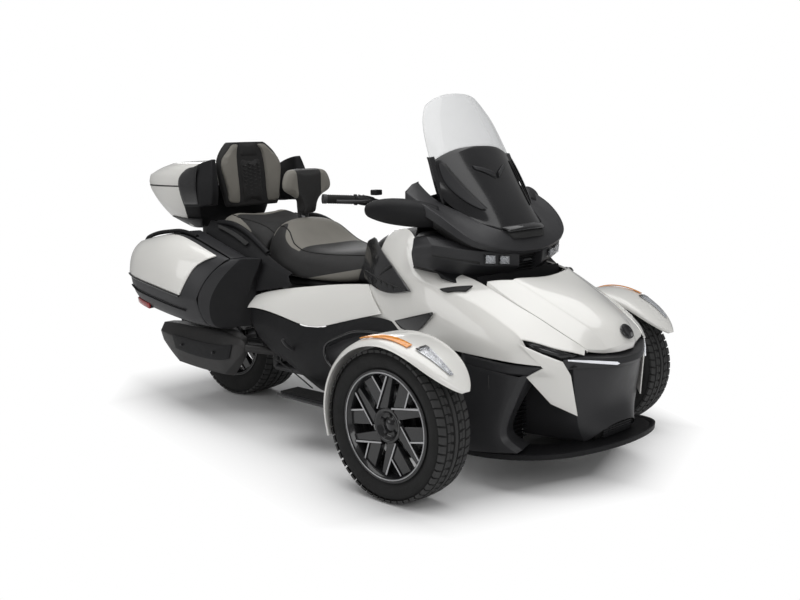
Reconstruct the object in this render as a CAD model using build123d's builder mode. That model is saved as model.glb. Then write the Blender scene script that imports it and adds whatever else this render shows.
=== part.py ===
from build123d import *
import math
import os

# A touring reverse trike: two steered front wheels, one driven rear wheel.
# +X is forward, +Y is the rider's left, +Z is up. The origin is on the ground,
# midway between the axles and on the centre plane. Millimetres throughout.

# Chassis layout
WHEELBASE = 1714
FRONT_TRACK = 1340
KINGPIN_Y = 580
KNUCKLE_ARM = 110
STEER_LIMIT = 27.5
BAR_LIMIT = 22
COLUMN_RAKE = 25
FRONT_AXLE_X = WHEELBASE / 2
REAR_AXLE_X = -WHEELBASE / 2
WHEEL_Y = FRONT_TRACK / 2

# Tyres and rims
FRONT_TYRE_R = 281
FRONT_TYRE_W = 165
REAR_TYRE_R = 303
REAR_TYRE_W = 225
BEAD_R = 190.5
FLANGE_R = 206
FRONT_RIM_W = 127
REAR_RIM_W = 178
BARREL_R = 172
SPOKES = 6

# Clearances
SEAT_GAP = 0.3
PIN_GAP = 0.1
SEAM = 4
WALL = 5

# Frame tubes
TUBE_R = 17
RAIL_Y = 170
LOW_Z = 220
HIGH_Z = 380
SEAT_Z = 640
TAIL_Z = 740
FRONT_X = 1130
HEAD_X = 600
PIVOT_X = -420
KINK_X = -640
TAIL_X = -1060

# Steering
PITMAN_Z = 300
ARM_T = 14
ROD_R = 8
BALL_R = 6
EYE_R = 14
EYE_T = 12
KINGPIN_R = 10
BOSS_R = 22
BOSS_T = 28
SPINDLE_R = 20
COLUMN_R = 22
COLUMN_TOP = (440, 0, 950)


def outline(plane, points, round_by=0):
    """A closed face through the points, with its corners rounded if asked."""
    with BuildSketch(plane) as face:
        with BuildLine():
            Polyline(*points, close=True)
        make_face()
        if round_by:
            fillet(face.vertices(), round_by)
    return face.sketch


def across(half):
    """Completes a cross-section from its half, listed from top to bottom."""
    return [*half, *[(-y, z) for y, z in reversed(half) if y]]


def section(x, half, round_by=0):
    """A cross-section at x, symmetric about the centre plane."""
    return outline(Plane.YZ.offset(x), across(half), round_by)


def side(y, points, round_by=0):
    """A side-view outline on the right, y millimetres out from the centre plane."""
    return outline(Plane.XZ.offset(y), points, round_by)


def level(z, half, round_by=0):
    """A plan-view outline at height z, symmetric about the centre plane."""
    return outline(Plane.XY.offset(z), [*half, *[(x, -y) for x, y in reversed(half) if y]], round_by)


def tube(start, end, radius):
    """A round bar between two points."""
    run = Vector(*end) - Vector(*start)
    with BuildPart(mode=Mode.PRIVATE) as bar:
        with BuildSketch(Plane(origin=start, z_dir=run)):
            Circle(radius)
        extrude(amount=run.length)
    return bar.part


def export(node, name):
    """Labels a finished piece and writes it as a STEP file."""
    node.part.label = name
    export_step(node.part, f"parts/{name}.step")


os.makedirs("parts", exist_ok=True)

column_axis = Vector(-math.sin(math.radians(COLUMN_RAKE)), 0, math.cos(math.radians(COLUMN_RAKE)))
column_top = Vector(*COLUMN_TOP)


# ---------------------------------------------------------------- frame
UPRIGHT_TOP = 575
TOWER_X = 800
TOWER_Y = 215
RACK_TOP = 850
PANNIER_IN_Y = 300
HEAD_TUBE_R = 34
STAY_IN_Y = 120
COWL_STAY_X = 700
COWL_STAY_Z = 784

with BuildPart() as frame:
    for start, end in [
        ((FRONT_X, -RAIL_Y, LOW_Z), (PIVOT_X, -RAIL_Y, LOW_Z)),
        ((FRONT_X, -RAIL_Y, HIGH_Z), (HEAD_X, -RAIL_Y, HIGH_Z)),
        ((HEAD_X, -RAIL_Y, SEAT_Z), (PIVOT_X, -RAIL_Y, SEAT_Z)),
        ((PIVOT_X, -RAIL_Y, SEAT_Z), (KINK_X, -RAIL_Y, TAIL_Z)),
        ((KINK_X, -RAIL_Y, TAIL_Z), (TAIL_X, -RAIL_Y, TAIL_Z)),
        ((FRONT_X - 30, -RAIL_Y, LOW_Z), (FRONT_X - 30, -RAIL_Y, HIGH_Z)),
        ((HEAD_X + 30, -RAIL_Y, LOW_Z), (HEAD_X - 20, -RAIL_Y, SEAT_Z)),
        ((PIVOT_X, -RAIL_Y, LOW_Z), (PIVOT_X, -RAIL_Y, SEAT_Z)),
        ((TOWER_X, -RAIL_Y, HIGH_Z), (TOWER_X, -TOWER_Y, UPRIGHT_TOP)),
        ((HEAD_X - 20, -STAY_IN_Y, SEAT_Z), (COWL_STAY_X, -STAY_IN_Y, COWL_STAY_Z)),
    ]:
        add(tube(start, end, TUBE_R))
    mirror(about=Plane.XZ)
    for x, z, reach in [
        (FRONT_X - 30, LOW_Z, RAIL_Y), (480, LOW_Z, RAIL_Y), (0, LOW_Z, RAIL_Y), (PIVOT_X, LOW_Z, RAIL_Y),
        (FRONT_AXLE_X, LOW_Z, RAIL_Y), (FRONT_X - 30, HIGH_Z, RAIL_Y), (1030, HIGH_Z, RAIL_Y),
        (HEAD_X - 20, SEAT_Z, RAIL_Y), (PIVOT_X + 30, SEAT_Z, RAIL_Y),
        (KINK_X, TAIL_Z, PANNIER_IN_Y - SEAT_GAP), (TAIL_X + 30, TAIL_Z, PANNIER_IN_Y - SEAT_GAP),
    ]:
        add(tube((x, -reach, z), (x, reach, z), TUBE_R - 2))
    with Locations((TAIL_X + 40, 0, (TAIL_Z + RACK_TOP) / 2)):
        Box(80, 200, RACK_TOP - TAIL_Z)
    with Locations((FRONT_AXLE_X, 0, LOW_Z)):
        Cylinder(KINGPIN_R, PITMAN_Z - LOW_Z + ARM_T, align=(Align.CENTER, Align.CENTER, Align.MIN))
    head_low = column_top - column_axis * 345
    head_high = column_top - column_axis * 255
    add(tube(head_low, head_high, HEAD_TUBE_R))
    add(tube(head_low - column_axis * 20, head_high, COLUMN_R + PIN_GAP), mode=Mode.SUBTRACT)
export(frame, "frame")

# ---------------------------------------------------------------- engine
ENGINE_FRONT = 520
ENGINE_REAR = -120
ENGINE_HALF_W = 118
ENGINE_TOP = 600
ENGINE_BOTTOM = LOW_Z + TUBE_R + SEAT_GAP
BELT_Y = 135
BELT_W = 28
FRONT_PULLEY_X = -60
FRONT_PULLEY_Z = 360
FRONT_PULLEY_R = 42
REAR_PULLEY_R = 105
BELT_T = 6

with BuildPart() as engine:
    with Locations(((ENGINE_FRONT + ENGINE_REAR) / 2, 0, (ENGINE_TOP + ENGINE_BOTTOM) / 2)):
        Box(ENGINE_FRONT - ENGINE_REAR, 2 * ENGINE_HALF_W, ENGINE_TOP - ENGINE_BOTTOM)
    chamfer(engine.edges().filter_by(Axis.Y), 30)
    pulley_face = ENGINE_HALF_W
    add(tube((FRONT_PULLEY_X, pulley_face, FRONT_PULLEY_Z),
             (FRONT_PULLEY_X, BELT_Y + BELT_W / 2, FRONT_PULLEY_Z), FRONT_PULLEY_R))
export(engine, "engine")

# ---------------------------------------------------------------- front suspension
ARM_TUBE_R = 14
ARM_FRONT_X = 900
ARM_REAR_X = 650
BUSH_R = 20
BUSH_L = 50
BUSH_Y = RAIL_Y + TUBE_R + SEAT_GAP + BUSH_R
DAMPER_FOOT_Y = 400
DAMPER_R = 26
DAMPER_BOSS_R = 14


def arm_pair(z):
    """The right-hand wishbone of one height: two legs, two bushes and the outer eye."""
    with BuildPart(mode=Mode.PRIVATE) as arm:
        for x in [ARM_FRONT_X, ARM_REAR_X]:
            add(tube((x, -BUSH_Y, z), (FRONT_AXLE_X, -KINGPIN_Y, z), ARM_TUBE_R))
            add(tube((x - BUSH_L / 2, -BUSH_Y, z), (x + BUSH_L / 2, -BUSH_Y, z), BUSH_R))
        add(tube((FRONT_AXLE_X, -KINGPIN_Y, z - BOSS_T / 2), (FRONT_AXLE_X, -KINGPIN_Y, z + BOSS_T / 2), BOSS_R))
        with Locations((FRONT_AXLE_X, -KINGPIN_Y, z)):
            Cylinder(KINGPIN_R + PIN_GAP, 2 * BOSS_T, mode=Mode.SUBTRACT)
    return arm.part


with BuildPart() as lower_arms:
    add(arm_pair(LOW_Z))
    mirror(about=Plane.XZ)
export(lower_arms, "lower_arms")

with BuildPart() as upper_arms:
    add(arm_pair(HIGH_Z))
    mirror(about=Plane.XZ)
export(upper_arms, "upper_arms")

damper_foot = Vector(830, -DAMPER_FOOT_Y, LOW_Z + ARM_TUBE_R + SEAT_GAP + 20)
damper_head = Vector(TOWER_X, -TOWER_Y - 60, UPRIGHT_TOP - 30)
damper_run = damper_head - damper_foot
tower_lean = (TOWER_Y - RAIL_Y) / (UPRIGHT_TOP - HIGH_Z)
damper_seat_y = (TOWER_Y - (UPRIGHT_TOP - damper_head.Z - DAMPER_BOSS_R) * tower_lean
                 + TUBE_R * math.hypot(1, tower_lean) + SEAT_GAP)
with BuildPart() as dampers:
    add(tube(damper_foot, damper_head, 9))
    add(tube(damper_foot + damper_run * 0.06, damper_foot + damper_run * 0.5, 20))
    for share in [0.12, 0.24, 0.36, 0.48, 0.6, 0.72, 0.84]:
        add(tube(damper_foot + damper_run * share, damper_foot + damper_run * (share + 0.06), DAMPER_R))
    with Locations(Plane(origin=(TOWER_X, -damper_seat_y, damper_head.Z), z_dir=(0, -1, 0))):
        Cylinder(DAMPER_BOSS_R, 50, align=(Align.CENTER, Align.CENTER, Align.MIN))
    with Locations(damper_foot):
        Box(70, 24, 36)
    mirror(about=Plane.XZ)
export(dampers, "dampers")

# ---------------------------------------------------------------- steering linkage
ARM_END_X = FRONT_AXLE_X - KNUCKLE_ARM
ROD_GAP = 2

with BuildPart() as pitman_arm:
    with BuildSketch(Plane.XY.offset(PITMAN_Z - ARM_T / 2)):
        with Locations((FRONT_AXLE_X, 0)):
            Circle(BOSS_R)
        with Locations((ARM_END_X, 0)):
            Circle(EYE_R)
        with Locations(((FRONT_AXLE_X + ARM_END_X) / 2, 0)):
            Rectangle(KNUCKLE_ARM, 1.6 * EYE_R)
        with Locations((FRONT_AXLE_X, 0)):
            Circle(KINGPIN_R + PIN_GAP, mode=Mode.SUBTRACT)
    extrude(amount=ARM_T)
    pin_reach = ARM_T / 2 + ROD_GAP + EYE_T
    add(tube((ARM_END_X, 0, PITMAN_Z - pin_reach), (ARM_END_X, 0, PITMAN_Z + pin_reach), BALL_R))
export(pitman_arm, "pitman_arm")

for hand, name in [(-1, "tie_rod_right"), (1, "tie_rod_left")]:
    rod_z = PITMAN_Z - hand * (ARM_T / 2 + ROD_GAP + EYE_T / 2)
    with BuildPart() as tie_rod:
        add(tube((ARM_END_X, 0, rod_z), (ARM_END_X, hand * KINGPIN_Y, rod_z), ROD_R))
        for y in [0, hand * KINGPIN_Y]:
            with Locations((ARM_END_X, y, rod_z)):
                Cylinder(EYE_R, EYE_T)
        for y in [0, hand * KINGPIN_Y]:
            with Locations((ARM_END_X, y, rod_z)):
                Cylinder(BALL_R + PIN_GAP, 2 * EYE_T, mode=Mode.SUBTRACT)
        rod_low = rod_z - EYE_T / 2
        rod_slab = Plane.XY.offset(rod_low)
        split(bisect_by=rod_slab, keep=Keep.TOP)
        split(bisect_by=Plane.XY.offset(rod_low + EYE_T), keep=Keep.BOTTOM)
    export(tie_rod, name)

# ---------------------------------------------------------------- knuckles
DISC_R = 135
DISC_T = 6
DISC_Y = 640
STAY_X = 60
STAY_R = 6
STAY_Y = KINGPIN_Y - 12
FENDER_IN_R = 300
FENDER_IN_Y = 556
FENDER_OUT_Y = 777
UPRIGHT_Y = KINGPIN_Y + 4
CALIPER_GAP = 2

for hand, name in [(-1, "knuckle_right"), (1, "knuckle_left")]:
    with BuildPart() as knuckle:
        with Locations((FRONT_AXLE_X, -UPRIGHT_Y, (LOW_Z + HIGH_Z) / 2)):
            Box(44, 52, HIGH_Z - LOW_Z - BOSS_T - 4)
        add(tube((FRONT_AXLE_X, -KINGPIN_Y, LOW_Z - BOSS_T / 2), (FRONT_AXLE_X, -KINGPIN_Y, HIGH_Z + BOSS_T / 2),
                 KINGPIN_R))
        add(tube((FRONT_AXLE_X, -UPRIGHT_Y, FRONT_TYRE_R), (FRONT_AXLE_X, -WHEEL_Y - 20, FRONT_TYRE_R), SPINDLE_R))
        with BuildSketch(Plane.XY.offset(PITMAN_Z - ARM_T / 2)):
            with Locations((ARM_END_X, -KINGPIN_Y)):
                Circle(EYE_R)
            with Locations(((FRONT_AXLE_X + ARM_END_X) / 2, -KINGPIN_Y)):
                Rectangle(KNUCKLE_ARM, 1.6 * EYE_R)
        extrude(amount=ARM_T)
        pin_end = PITMAN_Z - hand * (ARM_T / 2 + ROD_GAP + EYE_T)
        add(tube((ARM_END_X, -KINGPIN_Y, PITMAN_Z), (ARM_END_X, -KINGPIN_Y, pin_end), BALL_R))
        for x in [-STAY_X, STAY_X]:
            stay_top = FRONT_TYRE_R + math.sqrt(FENDER_IN_R**2 - (STAY_X + STAY_R)**2) - SEAT_GAP
            add(tube((FRONT_AXLE_X, -STAY_Y, 330), (FRONT_AXLE_X + x, -STAY_Y, 330), STAY_R + 2))
            add(tube((FRONT_AXLE_X + x, -STAY_Y, 330 - STAY_R), (FRONT_AXLE_X + x, -STAY_Y, stay_top), STAY_R))
        with BuildSketch(Plane.XZ.offset(DISC_Y - 25)):
            with Locations((FRONT_AXLE_X - 98, FRONT_TYRE_R + 55)):
                Rectangle(50, 84, rotation=25)
        extrude(amount=50)
        with Locations(Plane(origin=(FRONT_AXLE_X, -DISC_Y, FRONT_TYRE_R), z_dir=(0, -1, 0))):
            Cylinder(DISC_R + CALIPER_GAP, DISC_T + 2 * CALIPER_GAP, mode=Mode.SUBTRACT)
            Cylinder(SPINDLE_R, 60)
        with BuildSketch(Plane.XZ.offset(UPRIGHT_Y + 14)):
            with Locations((FRONT_AXLE_X - 60, FRONT_TYRE_R + 45)):
                Rectangle(130, 24, rotation=-28)
        extrude(amount=22)
        if hand > 0:
            mirror(about=Plane.XZ)
            split(bisect_by=Plane.XZ, keep=Keep.BOTTOM)
    export(knuckle, name)

# ---------------------------------------------------------------- front fenders and lamps
FENDER_TOP_R = 334
FENDER_EDGE_R = 316
FENDER_FRONT_DEG = 63
FENDER_REAR_DEG = 106

fender_outer = [(-FENDER_IN_Y, FENDER_IN_R), (-FENDER_IN_Y, FENDER_EDGE_R), (-FENDER_IN_Y - 60, FENDER_TOP_R),
                (-FENDER_OUT_Y + 62, FENDER_TOP_R), (-FENDER_OUT_Y, FENDER_EDGE_R), (-FENDER_OUT_Y, FENDER_IN_R)]

for hand, name in [(-1, "fender_right"), (1, "fender_left")]:
    wheel_axis = Axis((FRONT_AXLE_X, 0, FRONT_TYRE_R), (0, 1, 0))
    with BuildPart() as fender:
        with BuildSketch(Plane.YZ.offset(FRONT_AXLE_X)):
            with BuildLine():
                Polyline(*[(y, FRONT_TYRE_R + r) for y, r in fender_outer], close=True)
            make_face()
        revolve(axis=wheel_axis, revolution_arc=FENDER_FRONT_DEG)
        with BuildSketch(Plane.YZ.offset(FRONT_AXLE_X)):
            with BuildLine():
                Polyline(*[(y, FRONT_TYRE_R + r) for y, r in fender_outer], close=True)
            make_face()
        revolve(axis=wheel_axis, revolution_arc=-FENDER_REAR_DEG)
        if hand > 0:
            mirror(about=Plane.XZ)
            split(bisect_by=Plane.XZ, keep=Keep.BOTTOM)
    export(fender, name)

# ---------------------------------------------------------------- wheels
SPOKE_OUTLINE = [(32, 179), (8, 182), (-20, 118), (-65, 171), (-113, 144), (-52, 70), (-30, 50), (0, 50), (7, 75)]


def wheel_sketch_tyre(x, radius, width):
    """Half-plane profile of a tyre at its axle, above the axle."""
    half = width / 2
    bead = half - 20
    return outline(Plane.YZ.offset(x), [
        (-bead, radius + BEAD_R), (-bead, radius + FLANGE_R + 2), (-half + 6, radius + FLANGE_R + 14),
        (-half, radius + (FLANGE_R + radius) / 2), (-half + 7, 2 * radius - 16), (-half * 0.62, 2 * radius - 3),
        (0, 2 * radius), (half * 0.62, 2 * radius - 3), (half - 7, 2 * radius - 16),
        (half, radius + (FLANGE_R + radius) / 2), (half - 6, radius + FLANGE_R + 14),
        (bead, radius + FLANGE_R + 2), (bead, radius + BEAD_R)])


def tyre_at(x, y, radius, width):
    """A tyre as one closed ring, seated on its rim."""
    with BuildPart(mode=Mode.PRIVATE) as ring:
        revolve(wheel_sketch_tyre(x, radius, width), axis=Axis((x, 0, radius), (0, 1, 0)))
    return ring.part.moved(Location((0, y, 0)))


def rim_at(x, radius, width, tyre_w, bore_r, face):
    """A cast rim with twisted spokes, hub and brake disc, its outer face towards -Y."""
    bead = tyre_w / 2 - 20 + SEAT_GAP
    lip = bead + 7
    spin = Axis((x, 0, radius), (0, 1, 0))
    with BuildPart(mode=Mode.PRIVATE) as rim:
        barrel = [(-lip, FLANGE_R - 1), (-bead, FLANGE_R - 1), (-bead, BEAD_R - SEAT_GAP),
                  (bead, BEAD_R - SEAT_GAP), (bead, FLANGE_R - 1), (lip, FLANGE_R - 1), (lip, BEAD_R - 8),
                  (width * 0.3, BARREL_R), (-width * 0.3, BARREL_R), (-lip, BEAD_R - 8)]
        revolve(outline(Plane.YZ.offset(x), [(y, radius + r) for y, r in barrel]), axis=spin)
        with BuildSketch(Plane(origin=(x, -face, radius), x_dir=(1, 0, 0), z_dir=(0, -1, 0))):
            Circle(62)
            with PolarLocations(0, SPOKES):
                add(outline(Plane.XY, SPOKE_OUTLINE))
        extrude(amount=-22)
        add(tube((x, -face + 10, radius), (x, -face + 95, radius), 46))
        add(tube((x, -face - 4, radius), (x, face, radius), bore_r), mode=Mode.SUBTRACT)
    return rim.part


for hand, tag in [(-1, "right"), (1, "left")]:
    with BuildPart() as front_tyre:
        add(tyre_at(FRONT_AXLE_X, -WHEEL_Y, FRONT_TYRE_R, FRONT_TYRE_W))
        if hand > 0:
            mirror(about=Plane.XZ)
            split(bisect_by=Plane.XZ, keep=Keep.BOTTOM)
    export(front_tyre, f"front_tyre_{tag}")
    with BuildPart() as front_rim:
        add(rim_at(FRONT_AXLE_X, FRONT_TYRE_R, FRONT_RIM_W, FRONT_TYRE_W, SPINDLE_R + PIN_GAP, 52)
            .moved(Location((0, -WHEEL_Y, 0))))
        add(tube((FRONT_AXLE_X, -DISC_Y - DISC_T / 2, FRONT_TYRE_R),
                 (FRONT_AXLE_X, -DISC_Y + DISC_T / 2, FRONT_TYRE_R), DISC_R))
        add(tube((FRONT_AXLE_X, -DISC_Y - 40, FRONT_TYRE_R), (FRONT_AXLE_X, -DISC_Y + 40, FRONT_TYRE_R),
                 SPINDLE_R + PIN_GAP), mode=Mode.SUBTRACT)
        if hand > 0:
            mirror(about=Plane.XZ)
            split(bisect_by=Plane.XZ, keep=Keep.BOTTOM)
    export(front_rim, f"front_rim_{tag}")

REAR_AXLE_R = 14
with BuildPart() as rear_tyre:
    add(tyre_at(REAR_AXLE_X, 0, REAR_TYRE_R, REAR_TYRE_W))
export(rear_tyre, "rear_tyre")

REAR_HUB_Y = 112
with BuildPart() as rear_rim:
    add(rim_at(REAR_AXLE_X, REAR_TYRE_R, REAR_RIM_W, REAR_TYRE_W, REAR_AXLE_R + PIN_GAP, 78))
    add(tube((REAR_AXLE_X, -REAR_HUB_Y, REAR_TYRE_R), (REAR_AXLE_X, BELT_Y + BELT_W / 2, REAR_TYRE_R), 34))
    add(tube((REAR_AXLE_X, BELT_Y - BELT_W / 2, REAR_TYRE_R), (REAR_AXLE_X, BELT_Y + BELT_W / 2, REAR_TYRE_R),
             REAR_PULLEY_R))
    add(tube((REAR_AXLE_X, -200, REAR_TYRE_R), (REAR_AXLE_X, 200, REAR_TYRE_R), REAR_AXLE_R + PIN_GAP),
        mode=Mode.SUBTRACT)
export(rear_rim, "rear_rim")

# ---------------------------------------------------------------- swingarm and belt
SWING_Y = 178
SWING_R = 14
SWING_PIVOT_Z = 330
SWING_BRIDGE_X = -490

with BuildPart() as swingarm:
    pivot_end = RAIL_Y - TUBE_R - SEAT_GAP
    add(tube((PIVOT_X, -pivot_end, SWING_PIVOT_Z), (PIVOT_X, 0, SWING_PIVOT_Z), 25))
    add(tube((SWING_BRIDGE_X, -SWING_Y, SWING_PIVOT_Z - 4), (SWING_BRIDGE_X, 0, SWING_PIVOT_Z - 4), 22))
    for y in [50, 90]:
        add(tube((PIVOT_X, -y, SWING_PIVOT_Z), (SWING_BRIDGE_X, -y, SWING_PIVOT_Z - 4), 18))
    add(tube((SWING_BRIDGE_X, -SWING_Y, SWING_PIVOT_Z - 4), (REAR_AXLE_X, -SWING_Y, REAR_TYRE_R), SWING_R + 4))
    add(tube((REAR_AXLE_X, -SWING_Y - 26, REAR_TYRE_R), (REAR_AXLE_X, 0, REAR_TYRE_R), REAR_AXLE_R))
    add(tube((REAR_AXLE_X, -SWING_Y - 18, REAR_TYRE_R), (REAR_AXLE_X, -SWING_Y + 18, REAR_TYRE_R), 30))
    mirror(about=Plane.XZ)
export(swingarm, "swingarm")

belt_run = Vector(REAR_AXLE_X - FRONT_PULLEY_X, 0, REAR_TYRE_R - FRONT_PULLEY_Z)


def belt_loop(extra):
    """The belt's side-view outline round both pulleys, grown by extra."""
    with BuildSketch(Plane.XZ.offset(-BELT_Y - BELT_W / 2)) as loop:
        with Locations((FRONT_PULLEY_X, FRONT_PULLEY_Z)):
            Circle(FRONT_PULLEY_R + extra)
        with Locations((REAR_AXLE_X, REAR_TYRE_R)):
            Circle(REAR_PULLEY_R + extra)
        make_hull()
    return loop.sketch


with BuildPart() as drive_belt:
    extrude(belt_loop(BELT_T), amount=BELT_W)
    extrude(belt_loop(SEAT_GAP), amount=BELT_W, mode=Mode.SUBTRACT)
export(drive_belt, "drive_belt")

# ---------------------------------------------------------------- lower front fascia
def shell(outer, inner):
    """A loft with a smaller loft taken out of it."""
    with BuildPart(mode=Mode.PRIVATE) as body:
        loft(sections=outer, ruled=True)
        loft(sections=inner, ruled=True, mode=Mode.SUBTRACT)
    return body.part


FASCIA_REAR_X = 930
FASCIA_LOW_Z = 150
SIDE_INTAKE = [(-150, 236), (-190, 415), (-292, 424), (-322, 330), (-285, 242)]
GRILLE_MOUTH = [(-95, 262), (95, 262), (118, 335), (98, 412), (-98, 412), (-118, 335)]
GRILLE_BARS = [290, 320, 350, 380]
fascia_levels = [
    (FASCIA_LOW_Z, [(1330, 0), (1325, 150), (1290, 300), (1120, 352), (FASCIA_REAR_X, 352)]),
    (185, [(1412, 0), (1372, 150), (1336, 280), (1140, 372), (FASCIA_REAR_X, 372)]),
    (235, [(1372, 0), (1362, 100), (1322, 160), (1110, 385), (FASCIA_REAR_X, 385)]),
    (300, [(1335, 0), (1325, 100), (1305, 200), (1130, 385), (FASCIA_REAR_X, 392)]),
    (430, [(1345, 0), (1340, 100), (1300, 210), (1165, 375), (FASCIA_REAR_X, 398)]),
    (468, [(1402, 0), (1398, 90), (1330, 225), (1235, 330), (FASCIA_REAR_X, 398)]),
    (500, [(1408, 0), (1404, 100), (1352, 205), (1262, 312), (FASCIA_REAR_X, 400)]),
]
with BuildPart() as fascia:
    loft(sections=[level(z, half) for z, half in fascia_levels], ruled=True)
    loft(sections=[level(z + (WALL if z == FASCIA_LOW_Z else 0),
                         [(x - (2 * WALL if x > FASCIA_REAR_X else WALL), max(y - 2 * WALL, 0)) for x, y in half])
                   for z, half in fascia_levels], ruled=True, mode=Mode.SUBTRACT)
    extrude(outline(Plane.YZ.offset(1150), SIDE_INTAKE), amount=300, mode=Mode.SUBTRACT)
    extrude(outline(Plane.YZ.offset(1150), [(-y, z) for y, z in SIDE_INTAKE]), amount=300, mode=Mode.SUBTRACT)
    extrude(outline(Plane.YZ.offset(1290), GRILLE_MOUTH), amount=140, mode=Mode.SUBTRACT)
    for z in GRILLE_BARS:
        with Locations((1318, 0, z)):
            Box(10, 250, 8)
    for hand in [-1, 1]:
        with Locations((FRONT_X - 20, hand * (RAIL_Y + TUBE_R + SEAT_GAP + 100), HIGH_Z)):
            Box(30, 200, 20)
export(fascia, "fascia")

# ---------------------------------------------------------------- hood and shoulder panels
BODY_SPLIT_Z = 500 + SEAT_GAP
upper_stations = [
    (640, [(0, 784), (165, 784), (285, 776), (365, 745), (398, 560), (392, BODY_SPLIT_Z + 40)]),
    (935, [(0, 752), (160, 760), (262, 748), (350, 705), (400, 530), (400, BODY_SPLIT_Z)]),
    (1165, [(0, 692), (145, 672), (240, 643), (340, 568), (352, 520), (340, BODY_SPLIT_Z)]),
    (1260, [(0, 643), (132, 620), (218, 584), (290, 516), (300, 510), (300, BODY_SPLIT_Z)]),
    (1325, [(0, 608), (118, 586), (196, 537), (206, 520), (210, 510), (212, BODY_SPLIT_Z)]),
    (1388, [(0, 572), (96, 540), (120, 520), (125, 515), (128, 510), (130, BODY_SPLIT_Z)]),
    (1402, [(0, 535), (70, 518), (90, 512), (100, 509), (104, 506), (108, BODY_SPLIT_Z)]),
]
inner_stations = [
    (x - 8, [(max(y - 9, 0) if y else 0, max(z - 8, BODY_SPLIT_Z - 2)) if z > BODY_SPLIT_Z + 1
             else (y - 9, z - 6) for y, z in half]) for x, half in upper_stations]
hood_plan = [(1022, 0), (1010, 60), (985, 150), (935, 264), (1150, 246), (1322, 200), (1420, 150), (1420, 0)]


def upper_shell():
    """The painted skin over the front trunk and above the wheels' inner sides."""
    return shell([section(x, half) for x, half in upper_stations],
                 [section(x, half) for x, half in inner_stations])


def hood_prism(grow):
    """A tall block over the hood's plan outline, grown or shrunk by half a seam."""
    with BuildPart(mode=Mode.PRIVATE) as block:
        with BuildSketch(Plane.XY.offset(300)):
            add(level(300, hood_plan))
            offset(amount=grow, kind=Kind.INTERSECTION)
        extrude(amount=700)
    return block.part


with BuildPart() as shoulder_panels:
    add(upper_shell())
    add(hood_prism(SEAM / 2), mode=Mode.SUBTRACT)
    extrude(level(600, [(1024, 0), (1024, 264 + SEAM), (560, 264 + SEAM), (560, 0)][::-1]), amount=400,
            mode=Mode.SUBTRACT)
export(shoulder_panels, "shoulder_panels")

# ---------------------------------------------------------------- front trunk tub
TUB_REAR_X = 1025
TUB_FRONT_X = 1280
TUB_HALF_W = 185
TUB_FLOOR_Z = HIGH_Z + TUBE_R + SEAT_GAP
HOOD_PIVOT = (938, 0, 716)
HINGE_R = 6
HINGE_Y = 200
COWL_Z = 634
with BuildPart() as trunk_tub:
    extrude(side(-TUB_HALF_W, [(TUB_REAR_X, TUB_FLOOR_Z), (TUB_FRONT_X, TUB_FLOOR_Z), (TUB_FRONT_X, 520),
                               (TUB_REAR_X, 655)]), amount=2 * TUB_HALF_W)
    extrude(side(-TUB_HALF_W + WALL, [(TUB_REAR_X + WALL, TUB_FLOOR_Z + WALL),
                                      (TUB_FRONT_X - WALL, TUB_FLOOR_Z + WALL), (TUB_FRONT_X - WALL, 600),
                                      (TUB_REAR_X + WALL, 800)]),
            amount=2 * (TUB_HALF_W - WALL), mode=Mode.SUBTRACT)
    extrude(side(-255, [(TUB_REAR_X + 2, 632), (TUB_REAR_X + 2, 638), (905, 638), (892, 760), (886, 760),
                        (899, 632)]), amount=510)
    for y in [-HINGE_Y, HINGE_Y]:
        extrude(side(-y - 4, [(HOOD_PIVOT[0] - 8, COWL_Z), (HOOD_PIVOT[0] + 12, COWL_Z),
                              (HOOD_PIVOT[0] + 6, HOOD_PIVOT[2]), (HOOD_PIVOT[0] - 6, HOOD_PIVOT[2])]), amount=8)
        add(tube((HOOD_PIVOT[0], y - 14, HOOD_PIVOT[2]), (HOOD_PIVOT[0], y + 14, HOOD_PIVOT[2]), HINGE_R))
export(trunk_tub, "trunk_tub")

with BuildPart() as hood:
    add(upper_shell())
    add(hood_prism(-SEAM / 2), mode=Mode.INTERSECT)
    for y in [-HINGE_Y, HINGE_Y]:
        for shift in [-10, 10]:
            eye = Vector(*HOOD_PIVOT) + Vector(0, y + shift, 0)
            add(tube(eye - Vector(0, 4, 0), eye + Vector(0, 4, 0), 2 * HINGE_R))
            with Locations(eye + Vector(27, 0, 0)):
                Box(54, 8, 12)
            add(tube(eye - Vector(0, 9, 0), eye + Vector(0, 9, 0), HINGE_R + PIN_GAP), mode=Mode.SUBTRACT)
export(hood, "hood")

# ---------------------------------------------------------------- lamp housing, headlamps and fairing
beak_stations = [
    (660, [(330, 905), (425, 870), (410, 828), (300, 796)]),
    (780, [(340, 890), (370, 872), (350, 850), (250, 792)]),
    (870, [(230, 868), (250, 850), (230, 800), (130, 775)]),
    (931, [(60, 834), (80, 826), (70, 812), (50, 803)]),
]
with BuildPart() as lamp_beak:
    loft(sections=[section(x, half) for x, half in beak_stations], ruled=True)
    loft(sections=[section(x - 12, [(y - 14, z - 10 if z > 830 else z + 10) for y, z in half])
                   for x, half in beak_stations[:-1]], ruled=True, mode=Mode.SUBTRACT)
    lens_places = [(900, hand * y, 824) for hand in [-1, 1] for y in [130, 190]]
    with Locations(*lens_places):
        Box(90, 52, 36, mode=Mode.SUBTRACT)
export(lamp_beak, "lamp_beak")

with BuildPart() as headlamps:
    loft(sections=[section(x, half) for x, half in beak_stations], ruled=True)
    with BuildPart(mode=Mode.INTERSECT):
        with Locations(*lens_places):
            Box(90 - 2 * SEAT_GAP, 52 - 2 * SEAT_GAP, 36 - 2 * SEAT_GAP)
export(headlamps, "headlamps")

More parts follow.
